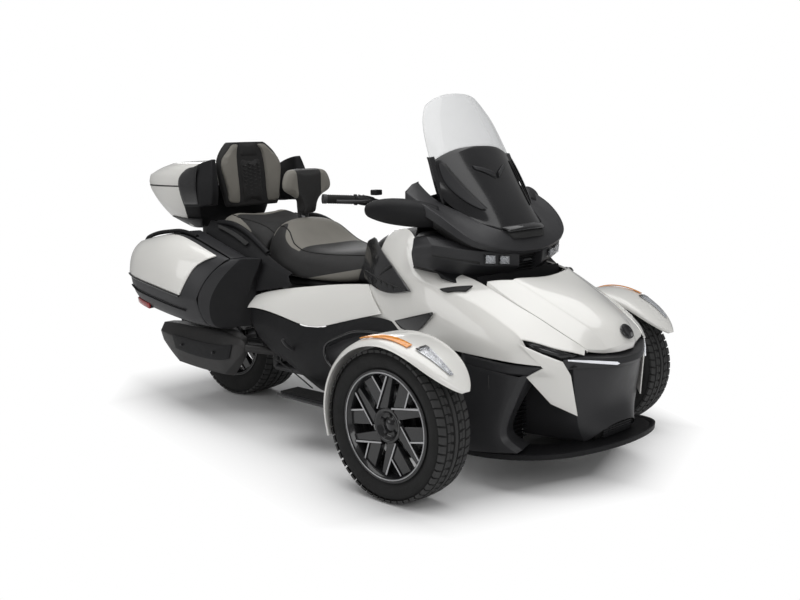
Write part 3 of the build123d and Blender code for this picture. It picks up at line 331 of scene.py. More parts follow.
def leather(name, dark, light, grain=1400.0, inserts=None, sheen=0.03, shine=0.2):
    """Upholstery leather with a cell grain. inserts(finish) gives 1 where it is sewn in with taupe."""
    finish = Finish(name, roughness=0.5, Sheen_Weight=sheen, Specular_IOR_Level=shine)
    shade = finish.noise(11.0) * 0.7 + finish.noise(420.0) * 0.3
    pebbles = finish.cells(grain)
    if inserts:
        finish.colour(inserts(finish), finish.blend(shade, dark, light),
                      finish.blend(shade, *TAUPE_LEATHER))
    else:
        finish.colour(shade, dark, light)
    finish.set("Roughness", 0.6 - pebbles * 0.5 + finish.noise(30.0) * 0.1)
    return finish.bump(pebbles + finish.noise(90.0, 2.0) * 0.4, 0.00022)


def two_tone(name, inserts):
    """Black leather with taupe inserts."""
    return leather(name, *BLACK_LEATHER, inserts=inserts, sheen=0.05, shine=0.3)


def clear_screen():
    """Clear polycarbonate, faintly grey, a little denser towards its edges."""
    finish = Finish("clear_screen", roughness=0.03, Specular_IOR_Level=0.6)
    finish.colour(finish.noise(5.0), (0.50, 0.51, 0.52), (0.62, 0.63, 0.64))
    finish.set("Alpha", finish.facing(0.3) * 0.55 + 0.2)
    return finish.material


def smoked_screen():
    """The same screen where it is smoked nearly black, glossy."""
    finish = Finish("smoked_screen", roughness=0.12, Coat_Weight=0.2, Coat_Roughness=0.04,
                    Specular_IOR_Level=0.35)
    finish.colour(finish.noise(8.0), (0.008, 0.008, 0.009), (0.020, 0.020, 0.021))
    finish.rough(0.10, 0.08, 35.0)
    return finish.material


def lens(name, dark, light, alpha, glow=0.0):
    """A moulded lens with fine optic ribs inside."""
    finish = Finish(name, roughness=0.06, Coat_Weight=0.8, Coat_Roughness=0.02, Emission_Strength=glow)
    ribs = (finish.axis("Z") * 1400.0).wave() * 0.5 + 0.5
    finish.colour(ribs * 0.6 + finish.noise(90.0) * 0.4, dark, light)
    finish.set("Alpha", alpha + ribs * 0.06)
    if glow:
        finish.set("Emission Color", finish.blend(ribs * 0.3, light, dark))
    return finish.bump(ribs, 0.0002)


def mirror_bowl():
    """The bright reflector inside a lamp."""
    finish = Finish("mirror_bowl", roughness=0.12, metallic=1.0)
    finish.colour(finish.noise(60.0), (0.62, 0.63, 0.65), (0.85, 0.86, 0.88))
    return finish.bump(finish.cells(260.0), 0.0004)


def satin_steel(name, dark, light, roughness=0.4, metallic=1.0, grain=600.0):
    """Metal or painted metal with a directional grain."""
    finish = Finish(name, roughness=roughness, metallic=metallic)
    brushed = finish.noise(grain, 3.0, stretch=(1.0, 0.3, 1.0))
    finish.colour(brushed * 0.7 + finish.noise(12.0) * 0.3, dark, light)
    finish.set("Roughness", brushed * 0.2 + (roughness - 0.1))
    return finish.bump(finish.noise(grain * 2.0), 0.00008)


def exhaust_black():
    """Black heat-proof paint, browned a little by heat in blotches."""
    finish = Finish("exhaust_black", roughness=0.42, metallic=0.2)
    finish.colour(finish.noise(9.0), (0.014, 0.014, 0.015), (0.034, 0.032, 0.031))
    finish.rough(0.34, 0.2, 120.0)
    return finish.bump(finish.noise(1400.0), 0.0001)


def painted_deep_shade():
    """Painted deep shade: near-black laid in holes, slots, grooves, gaps and the backs of openings, where
    shade falls.
    """
    finish = Finish("grille_black", roughness=0.7)
    finish.colour(finish.noise(300.0), 0.006, 0.016)
    return finish.bump(finish.noise(800.0), 0.0001)


WHITE = pearl_white()
GREY = satin_grey()
BLACK = grained_black()
GLOSS = gloss_black()
CUT = machined_face()
RUBBER = tyre_rubber()
HIDE = leather("black_hide", 0.008, (0.021, 0.020, 0.020))
TAUPE = leather("taupe_hide", (0.135, 0.128, 0.112), (0.19, 0.18, 0.16))
PANEL_HIDE = leather("panel_hide", 0.020, 0.036, grain=700.0)
CLEAR = clear_screen()
SMOKED = smoked_screen()
LAMP_LENS = lens("lamp_lens", (0.34, 0.35, 0.37), (0.80, 0.82, 0.86), 0.28)
DAYLIGHT = lens("daylight_lens", (0.70, 0.72, 0.76), (0.95, 0.96, 1.0), 0.9, glow=0.2)
RED_LENS = lens("red_lens", (0.16, 0.004, 0.006), (0.42, 0.02, 0.02), 0.94)
AMBER_LENS = lens("amber_lens", (0.68, 0.20, 0.012), (0.90, 0.36, 0.03), 0.94)
BRIGHT = mirror_bowl()
STEEL_BLACK = satin_steel("painted_steel", (0.012, 0.012, 0.013), (0.03, 0.03, 0.032), 0.45, 0.0)
TREAD = satin_steel("tread_rubber", 0.020, 0.040, 0.72, 0.0, 900.0)
ALLOY = satin_steel("cast_alloy", (0.16, 0.16, 0.165), (0.30, 0.30, 0.31), 0.5)
DISC_STEEL = satin_steel("disc_steel", (0.22, 0.22, 0.225), (0.42, 0.42, 0.43), 0.32)
ENGINE_GREY = satin_steel("engine_case", (0.05, 0.05, 0.052), (0.10, 0.10, 0.105), 0.55, 0.6, 300.0)
EXHAUST = exhaust_black()
# Painted deep shade for holes, slots, grooves, gaps and the backs of openings
DEEP_SHADE = painted_deep_shade()


# ---------------------------------------------------------------- mesh helpers
def link(name, mesh):
    """Puts a mesh in the scene as an object at the origin."""
    piece = bpy.data.objects.new(name, mesh)
    bpy.context.collection.objects.link(piece)
    return piece


def flattened(piece):
    """Applies a piece's modifiers into its mesh."""
    graph = bpy.context.evaluated_depsgraph_get()
    mesh = bpy.data.meshes.new_from_object(piece.evaluated_get(graph))
    piece.modifiers.clear()
    piece.data = mesh
    return piece


def islands_of(bm):
    """The groups of faces that hang together."""
    left = set(bm.faces)
    while left:
        stack = [left.pop()]
        island = set(stack)
        while stack:
            near = {face for edge in stack.pop().edges for face in edge.link_faces if face in left}
            left -= near
            island |= near
            stack.extend(near)
        yield island


class Cage:
    """A coarse control mesh in millimetres that subdivision turns into a smooth panel."""

    def __init__(self):
        self.points = []
        self.faces = []
        self.paint = []
        self.creases = {}

    def grid(self, rows, loop=False, caps=(False, False), sharp_cols=(), sharp_rows=(), paint=None,
             sharp=0.9):
        """Adds rows of points. Columns wrap round in a loop; caps close the first and last rows."""
        base = len(self.points)
        width = len(rows[0])
        for row in rows:
            self.points.extend(row)
        columns = width if loop else width - 1

        def at(i, j):
            return base + i * width + j % width

        for i in range(len(rows) - 1):
            for j in range(columns):
                self.faces.append((at(i, j), at(i + 1, j), at(i + 1, j + 1), at(i, j + 1)))
                self.paint.append(paint(i, j) if paint else 0)
        for j in sharp_cols:
            for i in range(len(rows) - 1):
                self.creases[frozenset((at(i, j), at(i + 1, j)))] = sharp
        for i in sharp_rows:
            for j in range(columns):
                self.creases[frozenset((at(i % len(rows), j), at(i % len(rows), j + 1)))] = sharp
        for wanted, row in zip(caps, (0, len(rows) - 1)):
            if wanted:
                corners = [at(row, j) for j in range(width)]
                self.faces.append(tuple(corners if row else corners[::-1]))
                self.paint.append(paint(row, 0) if paint else 0)
        return self

    def plates(self, points, faces, sharp=None):
        """Adds named corners and the flat faces between them, every edge as sharp as asked."""
        index = {}
        for key, place in points.items():
            index[key] = len(self.points)
            self.points.append(place)
        for face in faces:
            corners = [index[key] for key in face]
            self.faces.append(tuple(corners))
            self.paint.append(0)
            if sharp:
                for pair in zip(corners, corners[1:] + corners[:1]):
                    self.creases[frozenset(pair)] = sharp
        return self

    def with_twin(self):
        """Adds the mirror image of the cage on the other side of the centre plane."""
        shift = len(self.points)
        self.points = self.points + [(x, -y, z) for x, y, z in self.points]
        self.faces = self.faces + [tuple(v + shift for v in face[::-1]) for face in self.faces]
        self.paint = self.paint * 2
        self.creases.update({frozenset(v + shift for v in pair): w for pair, w in self.creases.items()})
        return self

    def make(self, name, *finishes, levels=2, wall=0.0, bevel=0.0, inside=None, smooth=True):
        """Builds the piece: merged, creased, turned outwards, subdivided, walled and its edges broken."""
        bm = bmesh.new()
        crease = bm.edges.layers.float.new("crease_edge")
        verts = [bm.verts.new(Vector(p) * MM) for p in self.points]
        for corners, slot in zip(self.faces, self.paint):
            face = bm.faces.new([verts[v] for v in corners])
            face.material_index = slot
            face.smooth = smooth
        bm.verts.index_update()
        for edge in bm.edges:
            edge[crease] = self.creases.get(frozenset(v.index for v in edge.verts), 0.0)
        bmesh.ops.remove_doubles(bm, verts=bm.verts, dist=MERGE_DISTANCE)
        bmesh.ops.recalc_face_normals(bm, faces=bm.faces)
        if any(len(edge.link_faces) != 2 for edge in bm.edges):
            self.turn_out(bm, inside)
        mesh = bpy.data.meshes.new(name)
        bm.to_mesh(mesh)
        bm.free()
        piece = link(name, mesh)
        for finish in finishes:
            mesh.materials.append(finish)
        if levels:
            subdivide = piece.modifiers.new("smooth", "SUBSURF")
            subdivide.levels = levels
            subdivide.render_levels = levels
            subdivide.boundary_smooth = "PRESERVE_CORNERS"
            subdivide.use_limit_surface = False
        if wall:
            thicken = piece.modifiers.new("wall", "SOLIDIFY")
            thicken.thickness = wall * MM
            thicken.offset = -1.0
        if bevel:
            soften = piece.modifiers.new("edge", "BEVEL")
            soften.width = bevel * MM
            soften.segments = 2
            soften.limit_method = "ANGLE"
            soften.angle_limit = math.radians(BEVEL_ANGLE)
            soften.harden_normals = False
        return piece

    @staticmethod
    def turn_out(bm, inside):
        """Turns each open skin so that most of it faces away from a point inside the object."""
        for island in list(islands_of(bm)):
            score = 0.0
            for face in island:
                centre = face.calc_center_median()
                core = Vector(inside) * MM if inside else Vector((centre.x, 0.0, CORE_HEIGHT))
                score += face.normal.dot((centre - core).normalized()) * face.calc_area()
            if score < 0:
                bmesh.ops.reverse_faces(bm, faces=list(island))


def skin(name, finish, rows, twin=False, levels=2, wall=4, bevel=0.0, inside=None, smooth=True, **form):
    """A walled panel from rows of control points, with its mirror image where twin is set."""
    cage = Cage().grid(rows, **form)
    if twin:
        cage.with_twin()
    finishes = finish if isinstance(finish, tuple) else (finish,)
    return cage.make(name, *finishes, levels=levels, wall=wall, bevel=bevel, inside=inside, smooth=smooth)


def across(rows):
    """Completes rows that run from the centre plane outwards with their mirror images."""
    return [[(x, -y, z) for x, y, z in reversed(row[1:])] + list(row) for row in rows]


def there_and_back(rows):
    """Rows that run to the centre plane, and their mirror images on the far side."""
    return rows + [[(x, -y, z) for x, y, z in row] for row in reversed(rows[:-1])]


def ring(x, half):
    """A closed cross-section at x from its right half, listed from top to bottom as (y, z)."""
    return [(x, -y, z) for y, z in half] + [(x, y, z) for y, z in reversed(half) if y]


def moved(rows, x=0.0, y=0.0, z=0.0):
    """The same rows, moved."""
    return [[(a + x, b + y, c + z) for a, b, c in row] for row in rows]


def tube(points, radius, name, finish, straight=False, roundness=3):
    """A round tube along a path, in millimetres."""
    curve = bpy.data.curves.new(name, "CURVE")
    curve.dimensions = "3D"
    curve.bevel_depth = radius * MM
    curve.bevel_resolution = roundness
    curve.use_fill_caps = True
    spline = curve.splines.new("POLY" if straight else "NURBS")
    spline.points.add(len(points) - 1)
    for node, place in zip(spline.points, points):
        node.co = (*(Vector(place) * MM), 1.0)
    if not straight:
        spline.order_u = 3
        spline.use_endpoint_u = True
        spline.resolution_u = 8
    maker = link(name, curve)
    graph = bpy.context.evaluated_depsgraph_get()
    mesh = bpy.data.meshes.new_from_object(maker.evaluated_get(graph))
    bpy.data.objects.remove(maker)
    mesh.materials.clear()
    mesh.materials.append(finish)
    for face in mesh.polygons:
        face.use_smooth = True
    return link(name, mesh)


def joined(name, pieces):
    """Joins pieces into one, keeping each one's finish."""
    bm = bmesh.new()
    slots = []
    for piece in pieces:
        if piece.modifiers:
            flattened(piece)
        offset = len(bm.faces)
        own = list(piece.data.materials)
        bm.from_mesh(piece.data)
        bm.faces.ensure_lookup_table()
        for face in bm.faces[offset:]:
            finish = own[min(face.material_index, len(own) - 1)]
            if finish not in slots:
                slots.append(finish)
            face.material_index = slots.index(finish)
        bpy.data.objects.remove(piece)
    mesh = bpy.data.meshes.new(name)
    bm.to_mesh(mesh)
    bm.free()
    for finish in slots:
        mesh.materials.append(finish)
    return link(name, mesh)


def mirrored_copy(piece, name):
    """The left-hand twin of a right-hand piece. The piece's modifiers are applied first."""
    mesh = (flattened(piece) if piece.modifiers else piece).data.copy()
    bm = bmesh.new()
    bm.from_mesh(mesh)
    for vertex in bm.verts:
        vertex.co.y = -vertex.co.y
    bmesh.ops.reverse_faces(bm, faces=bm.faces)
    bm.to_mesh(mesh)
    bm.free()
    return link(name, mesh)


def both_sides(pieces):
    """Right-hand pieces and their left-hand twins."""
    return pieces + [mirrored_copy(piece, piece.name + "_left") for piece in pieces]


def revolved(name, profile, centre, finish, segments=96):
    """A ring from a closed profile of (y, r) points about a wheel's axle. centre is the axle point."""
    cx, cy, cz = centre
    rows = []
    for step in range(segments):
        angle = 2 * math.pi * step / segments
        rows.append([(cx + r * math.sin(angle), cy + y, cz + r * math.cos(angle)) for y, r in profile])
    return Cage().grid(rows + rows[:1], loop=True).make(name, finish, levels=0)


def dress(piece, body="chassis", nodes=()):
    """Rides a finished piece on a body and hides the nodes it stands for."""
    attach(piece, body)
    if nodes:
        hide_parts(*nodes)
    return piece


# ---------------------------------------------------------------- repeats
def repeater():
    """A node group that copies one unit along a line and round a point, as a plain mesh."""
    group = bpy.data.node_groups.new("repeat_unit", "GeometryNodeTree")
    group.interface.new_socket("Geometry", in_out="OUTPUT", socket_type="NodeSocketGeometry")
    for label, kind in (("Unit", "Object"), ("Count", "Int"), ("Start", "Vector"), ("Shift", "Vector"),
                        ("Turn", "Vector"), ("First Turn", "Vector"), ("Finish", "Material")):
        group.interface.new_socket(label, in_out="INPUT", socket_type="NodeSocket" + kind)
    given = group.nodes.new("NodeGroupInput").outputs

    def add(kind, sources, operation=None):
        """Adds a node and wires its inputs, by name or place. Gives its first output."""
        node = group.nodes.new(kind)
        if operation:
            node.operation = operation
        for slot, source in sources.items():
            group.links.new(source, node.inputs[slot])
        return node.outputs[0] if node.outputs else None

    def rising(step, start):
        """start plus the copy's number times step."""
        grown = add("ShaderNodeVectorMath", {0: given[step], "Scale": index}, "SCALE")
        return add("ShaderNodeVectorMath", {0: grown, 1: given[start]})

    index = add("GeometryNodeInputIndex", {})
    points = add("GeometryNodePoints", {"Count": given["Count"], "Position": rising("Shift", "Start")})
    unit = group.nodes.new("GeometryNodeObjectInfo")
    group.links.new(given["Unit"], unit.inputs["Object"])
    copies = add("GeometryNodeInstanceOnPoints", {"Points": points, "Instance": unit.outputs["Geometry"],
                                                  "Rotation": rising("Turn", "First Turn")})
    real = add("GeometryNodeRealizeInstances", {0: copies})
    painted = add("GeometryNodeSetMaterial", {"Geometry": real, "Material": given["Finish"]})
    add("NodeGroupOutput", {0: painted})
    return group


REPEATER = repeater()


def repeat(name, unit, count, start=(0, 0, 0), shift=(0, 0, 0), turn=(0, 0, 0), first_turn=(0, 0, 0)):
    """Copies a unit piece count times, from start by shift (mm) and turn (degrees). The unit is used up."""
    if unit.modifiers:
        flattened(unit)
    carrier = link(name, bpy.data.meshes.new(name))
    modifier = carrier.modifiers.new("repeat", "NODES")
    modifier.node_group = REPEATER
    given = {"Unit": unit, "Count": count, "Start": Vector(start) * MM, "Shift": Vector(shift) * MM,
             "Turn": Vector(math.radians(a) for a in turn),
             "First Turn": Vector(math.radians(a) for a in first_turn), "Finish": unit.data.materials[0]}
    for item in REPEATER.interface.items_tree:
        if item.in_out == "INPUT":
            modifier[item.identifier] = given[item.name]
    carrier.update_tag()
    flattened(carrier)
    bpy.data.objects.remove(unit)
    return carrier


def prism(name, outline, low, high, finish, axis="Y", bevel=0.0):
    """A flat outline in (x, z), (x, y) or (y, z) drawn out along the third axis from low to high."""
    order = {"Y": (0, 2, 1), "Z": (0, 1, 2), "X": (2, 0, 1)}[axis]
    count = len(outline)
    cage = Cage()
    for depth in (low, high):
        for a, b in outline:
            spot = (a, b, depth)
            cage.points.append(tuple(spot[i] for i in order))
    cage.faces = [tuple(range(count)), tuple(range(2 * count - 1, count - 1, -1))]
    cage.faces += [(i, count + i, count + (i + 1) % count, (i + 1) % count) for i in range(count)]
    cage.paint = [0] * len(cage.faces)
    return cage.make(name, finish, levels=0, bevel=bevel, smooth=False)


def regular(count, radius, up=0.0):
    """The corners of a regular outline about (0, up)."""
    return [(radius * math.cos(2 * math.pi * a / count), radius * math.sin(2 * math.pi * a / count) + up)
            for a in range(count)]


# ---------------------------------------------------------------- hood and painted shoulders
HOOD_ROWS = [
    [(1030, 0, 746), (1020, -90, 751), (1002, -172, 757), (998, -180, 750), (960, -225, 752),
     (938, -258, 748), (937, -262, 730)],
    [(1090, 0, 729), (1088, -84, 726), (1082, -160, 718), (1080, -168, 711), (1062, -215, 700),
     (1042, -250, 686), (1040, -253, 672)],
    [(1190, 0, 692), (1188, -74, 686), (1181, -145, 666), (1180, -152, 659), (1166, -200, 648),
     (1150, -242, 640), (1148, -244, 628)],
    [(1290, 0, 644), (1288, -65, 636), (1268, -126, 618), (1266, -133, 612), (1256, -178, 598),
     (1242, -218, 586), (1240, -220, 574)],
    [(1350, 0, 604), (1346, -58, 597), (1318, -112, 586), (1316, -119, 580), (1311, -160, 567),
     (1304, -198, 551), (1302, -200, 541)],
    [(1382, 0, 566), (1375, -54, 559), (1346, -97, 546), (1344, -104, 541), (1336, -135, 537),
     (1324, -186, 534), (1322, -187, 526)],
    [(1392, 0, 532), (1386, -52, 527), (1360, -92, 521), (1357, -99, 518), (1347, -132, 520),
     (1331, -176, 528), (1329, -177, 520)],
    [(1386, 0, 508), (1380, -50, 504), (1354, -88, 503), (1351, -95, 503), (1341, -128, 507),
     (1326, -170, 517), (1323, -171, 512)],
]
hood_skin = skin("hood_skin", WHITE, across(HOOD_ROWS), levels=3, wall=6, bevel=1.2,
                 sharp_cols=(1, 3, 9, 11), sharp_rows=(0, 6), sharp=0.72)
dress(hood_skin, "hood", ("hood",))

# Inner panel of the hood, seen when it is open, and its two hinge arms
inner_rows = [[(x - 6, y * 0.86, z - 24) for x, y, z in row[:6]] for row in HOOD_ROWS[:6]]
dress(skin("hood_inner", BLACK, across(inner_rows), levels=1, inside=(1150, 0, 400)), "hood")
HOOD_ARM_Y = 200
arms = []
for y in (-HOOD_ARM_Y, HOOD_ARM_Y):
    arms.append(tube([(938, y, 716), (968, y, 722), (1010, y, 712)], 6, "arm", STEEL_BLACK))
    arms.append(tube([(938, y - 14, 716), (938, y + 14, 716)], 8, "eye", STEEL_BLACK, straight=True))
dress(joined("hood_arms", arms), "hood")


def badge_blank(centre, out, radius=30, thick=7, rim=4, segments=48):
    """A plain round boss with a raised rim, facing out."""
    out = Vector(out).normalized()
    side = out.orthogonal().normalized()
    up = out.cross(side)
    floor = thick * 0.55
    profile = [(0, 0), (radius, 0), (radius, thick), (radius - rim, thick), (radius - rim - 1, floor),
               (0, floor)]
    rows = []
    for step in range(segments):
        angle = 2 * math.pi * step / segments
        lean = side * math.cos(angle) + up * math.sin(angle)
        rows.append([tuple(Vector(centre) + lean * r + out * h) for r, h in profile])
    return skin("badge_blank", GLOSS, rows + rows[:1], levels=0, wall=0,
                inside=tuple(Vector(centre) - out * 100))


dress(badge_blank((1376, 0, 570), (0.80, 0, 0.60)), "hood")

SHOULDER_ROWS = [
    [(352, -152, 905), (352, -205, 872), (352, -262, 770), (352, -292, 700), (352, -315, 640),
     (352, -325, 575)],
    [(440, -152, 922), (440, -222, 880), (440, -285, 780), (440, -318, 690), (440, -334, 620),
     (440, -342, 555)],
    [(540, -215, 875), (540, -272, 832), (540, -322, 765), (540, -345, 690), (540, -358, 620),
     (540, -364, 548)],
    [(640, -262, 796), (640, -315, 782), (640, -352, 745), (640, -372, 690), (640, -385, 612),
     (640, -388, 532)],
    [(760, -266, 776), (760, -322, 763), (760, -362, 726), (760, -386, 670), (760, -398, 590),
     (760, -396, 516)],
    [(868, -268, 758), (868, -318, 746), (868, -360, 712), (868, -390, 650), (868, -405, 576),
     (868, -402, 506)],
    [(938, -268, 735), (938, -315, 720), (942, -356, 692), (946, -390, 630), (950, -405, 565),
     (952, -402, 500)],
    [(1045, -258, 683), (1048, -304, 664), (1052, -345, 638), (1060, -376, 592), (1068, -390, 542),
     (1075, -386, 492)],
    [(1110, -252, 655), (1114, -300, 634), (1120, -345, 604), (1132, -366, 566), (1142, -374, 528),
     (1152, -366, 484)],
    [(1148, -249, 640), (1158, -300, 608), (1166, -352, 572), (1184, -352, 545), (1210, -338, 510),
     (1238, -322, 478)],
]
SLOT_ROWS = [
    SHOULDER_ROWS[-1][:3],
    [(1196, -240, 614), (1204, -275, 588), (1212, -315, 560)],
    [(1242, -226, 586), (1252, -254, 562), (1262, -285, 540)],
    [(1304, -206, 549), (1308, -216, 535), (1314, -226, 522)],
    [(1326, -190, 532), (1330, -196, 522), (1334, -204, 512)],
]
shoulder_cage = Cage().grid(SHOULDER_ROWS, sharp_cols=(2,), sharp=0.45)
shoulder_cage.grid(SLOT_ROWS, sharp_cols=(0, 2), sharp=0.8)
shoulder = shoulder_cage.with_twin().make("shoulder_skins", WHITE, levels=3, wall=5, bevel=1.0)
dress(shoulder, "chassis", ("shoulder_panels",))

# Blade beside the nose: a bright fang from the slot down to its tip
blade_cage = Cage().plates({
    "top": (1168, -372, 560), "mid": (1232, -322, 523), "brow": (1290, -272, 492),
    "fore": (1306, -246, 440), "tip": (1312, -212, 286), "low": (1236, -270, 330),
    "heel": (1172, -330, 430), "notch": (1240, -322, 470), "ridge": (1262, -276, 430),
}, [("top", "mid", "notch"), ("mid", "brow", "notch"), ("brow", "fore", "ridge", "notch"),
    ("fore", "tip", "ridge"), ("notch", "ridge", "heel"), ("ridge", "low", "heel"),
    ("ridge", "tip", "low")], sharp=0.85)
dress(blade_cage.with_twin().make("blades", WHITE, levels=2, wall=5, bevel=1.0))


# ---------------------------------------------------------------- nose: ledge, block, pods, lip and grille
ledge_rows = [
    [(1372, 0, 500), (1366, -60, 498), (1340, -100, 498), (1322, -150, 505), (1312, -196, 510),
     (1282, -262, 498)],
    [(1404, 0, 487), (1398, -70, 488), (1372, -125, 492), (1342, -175, 500), (1322, -212, 506),
     (1290, -266, 494)],
    [(1408, 0, 466), (1400, -72, 466), (1374, -128, 472), (1340, -185, 482), (1314, -228, 490),
     (1288, -266, 478)],
    [(1392, 0, 452), (1386, -72, 452), (1362, -128, 454), (1328, -184, 458), (1304, -226, 462),
     (1284, -258, 455)],
]
block_rows = [
    [(1388, 0, 456), (1382, -72, 456), (1358, -128, 458), (1326, -184, 462), (1302, -226, 466),
     (1048, -222, 466)],
    [(1362, 0, 400), (1356, -72, 400), (1340, -128, 398), (1318, -180, 394), (1302, -222, 390),
     (1048, -222, 390)],
    [(1338, 0, 320), (1335, -70, 319), (1325, -120, 316), (1310, -168, 308), (1300, -198, 298),
     (1048, -206, 298)],
    [(1352, 0, 268), (1349, -70, 264), (1338, -118, 256), (1318, -158, 244), (1296, -188, 238),
     (1048, -200, 238)],
    [(1368, 0, 240), (1364, -72, 234), (1346, -116, 214), (1326, -142, 190), (1304, -160, 178),
     (1048, -188, 172)],
]
nose = Cage().grid(across(ledge_rows), sharp_rows=(1, 2), sharp=0.7)
nose.grid(across(block_rows), sharp_cols=(0, 1, 9, 10), sharp_rows=(0, 4), sharp=0.6)
nose_bits = [nose.make("nose_skin", GREY, levels=2, wall=5, bevel=1.0, inside=(1100, 0, 350))]

POD_ROWS = [
    [(1175, -250, 428), (1178, -322, 440), (1160, -352, 432), (1120, -376, 440), (1020, -394, 452),
     (925, -398, 462)],
    [(1160, -262, 404), (1166, -334, 408), (1146, -362, 396), (1104, -384, 392), (1010, -398, 392),
     (925, -400, 392)],
    [(1118, -290, 320), (1136, -352, 320), (1116, -376, 310), (1080, -392, 304), (1000, -402, 300),
     (925, -402, 296)],
    [(1086, -300, 240), (1104, -362, 240), (1088, -384, 228), (1060, -398, 220), (990, -404, 212),
     (925, -404, 206)],
    [(1088, -298, 200), (1108, -360, 196), (1100, -384, 184), (1060, -396, 174), (990, -400, 164),
     (925, -400, 158)],
    [(1150, -280, 172), (1170, -350, 166), (1160, -372, 156), (1090, -388, 146), (1000, -390, 134),
     (925, -388, 128)],
]
nose_bits.append(skin("nose_pods", GREY, POD_ROWS, twin=True, wall=5, bevel=1.0, sharp_cols=(1, 2),
                      sharp_rows=(0, 5), sharp=0.55))
top_rows = [[(925, -395, 498), (925, -398, 462)], [(1020, -392, 488), (1020, -394, 452)],
            [(1120, -372, 476), (1120, -376, 440)], [(1236, -318, 470), (1176, -326, 432)]]
nose_bits.append(skin("nose_shelf", GREY, top_rows, twin=True))

# The lip: a splitter plate with a turned-up rim
LIP_TOP = [
    [(925, -380, 122), (925, -300, 136)], [(1000, -388, 128), (1000, -300, 146)],
    [(1100, -388, 138), (1100, -280, 158)], [(1200, -366, 148), (1180, -240, 164)],
    [(1280, -326, 158), (1230, -200, 170)], [(1345, -268, 168), (1262, -150, 174)],
    [(1392, -170, 176), (1280, -100, 177)], [(1410, -80, 178), (1286, -50, 178)],
    [(1414, 0, 178), (1288, 0, 178)],
]
lip_rows = there_and_back(LIP_TOP)
lip = Cage().grid(lip_rows, sharp_cols=(0,), sharp=0.8)
lip.grid([[(x + 2, y * 1.004, z - 13), (x + 3, y * 1.01, z + 6), (x - 4, y * 0.985, z + 7),
           (x - 14, y * 0.955, z + 1)] for (x, y, z), _ in lip_rows], sharp_cols=(0, 1, 2), sharp=0.7)
nose_bits.append(lip.make("nose_lip", BLACK, levels=2, wall=8, bevel=1.0, inside=(1150, 0, -400)))
# The floor under the nose's mouth is painted deep shade
floor_rows = [[(930, -380, 118), (930, 0, 112), (930, 380, 118)],
              [(1200, -350, 142), (1220, 0, 150), (1200, 350, 142)],
              [(1345, -255, 160), (1395, 0, 168), (1345, 255, 160)]]
nose_bits.append(skin("nose_floor", DEEP_SHADE, floor_rows, levels=1, wall=3, inside=(1100, 0, 600)))

# Ducts behind the side mouths, with radiator fins, their back and roof in painted deep shade, and the mesh
# behind the chin on a backing of painted deep shade
nose_bits.append(skin("duct_back", DEEP_SHADE, [[(1050, -392, 430), (1050, -215, 430)],
                                            [(1050, -392, 150), (1050, -190, 150)]],
                      twin=True, levels=0, inside=(900, 0, 300)))
fin = prism("fin", [(1056, 0), (1056, 3), (1078, 7), (1078, 4)], -372, -205, BLACK)
nose_bits += both_sides([repeat("fins", fin, 16, (0, 0, 168), shift=(0, 0, 16))])
nose_bits.append(skin("duct_roof", DEEP_SHADE, [[(1060, -226, 462), (1320, -226, 470)],
                                            [(1060, -372, 436), (1176, -330, 436)]],
                      twin=True, levels=0, wall=3, inside=(1100, 0, 900)))
bar = prism("bar", [(-92, 0), (-92, 2.4), (92, 2.4), (92, 0)], -2, 2, GREY, axis="X")
nose_bits.append(repeat("bars", bar, 4, (1338, 0, 188), shift=(2, 0, 9.5)))
post = prism("post", [(0, 0), (2.2, 0), (2.2, 38), (0, 38)], -2.2, 2.2, GREY, axis="X")
nose_bits.append(repeat("posts", post, 19, (1341, -87, 184), shift=(0, 9.6, 0)))
nose_bits.append(skin("backing", DEEP_SHADE, [[(1322, -120, 182), (1322, 120, 182)],
                                          [(1330, -80, 236), (1330, 80, 236)]],
                      levels=0, wall=3, inside=(1200, 0, 200)))
dress(joined("nose_skin_all", nose_bits), "chassis", ("fascia",))

# Dark recess of the slot between shoulder and blade, and the slim daylight strip
slot_cage = Cage().plates({"a": (1160, -350, 566), "b": (1212, -312, 556), "c": (1262, -280, 534),
                           "d": (1316, -222, 512), "e": (1284, -262, 492), "f": (1226, -316, 520)},
                          ["abf", "bcef", "cde"])
dress(slot_cage.with_twin().make("slot_recess", GLOSS, levels=0, wall=4))
strip_cage = Cage().plates({"a": (1296, -252, 499), "b": (1352, -168, 489), "c": (1398, -92, 478),
                            "d": (1404, -84, 472), "e": (1396, -92, 467), "f": (1350, -166, 479),
                            "g": (1294, -250, 494)}, ["abfg", "bcef", "cde"])
dress(strip_cage.with_twin().make("daylight_strip", DAYLIGHT, levels=0, wall=-5, bevel=1.2))


# ---------------------------------------------------------------- lamp beak
BEAK = [
    [(678, -378, 905), (690, -398, 874), (684, -400, 850), (684, -396, 834), (668, -372, 800)],
    [(745, -380, 916), (778, -388, 886), (776, -388, 858), (772, -382, 840), (745, -360, 788)],
    [(800, -335, 902), (852, -328, 872), (850, -328, 845), (848, -322, 822), (800, -300, 766)],
    [(842, -262, 880), (896, -250, 856), (894, -250, 830), (892, -246, 802), (838, -226, 756)],
    [(876, -182, 864), (920, -172, 846), (919, -172, 820), (915, -168, 794), (860, -150, 750)],
    [(896, -108, 852), (938, -100, 838), (937, -99, 812), (934, -96, 790), (874, -90, 746)],
    [(905, -80, 847), (946, -74, 832), (945, -73, 808), (942, -70, 786), (880, -66, 744)],
    [(880, -70, 835), (900, -68, 828), (898, -66, 805), (896, -64, 784), (866, -60, 748)],
]
rib = prism("rib", [(-66, 0), (66, 0), (66, 2.5), (-66, 2.5)], 898, 912, BLACK, axis="X")
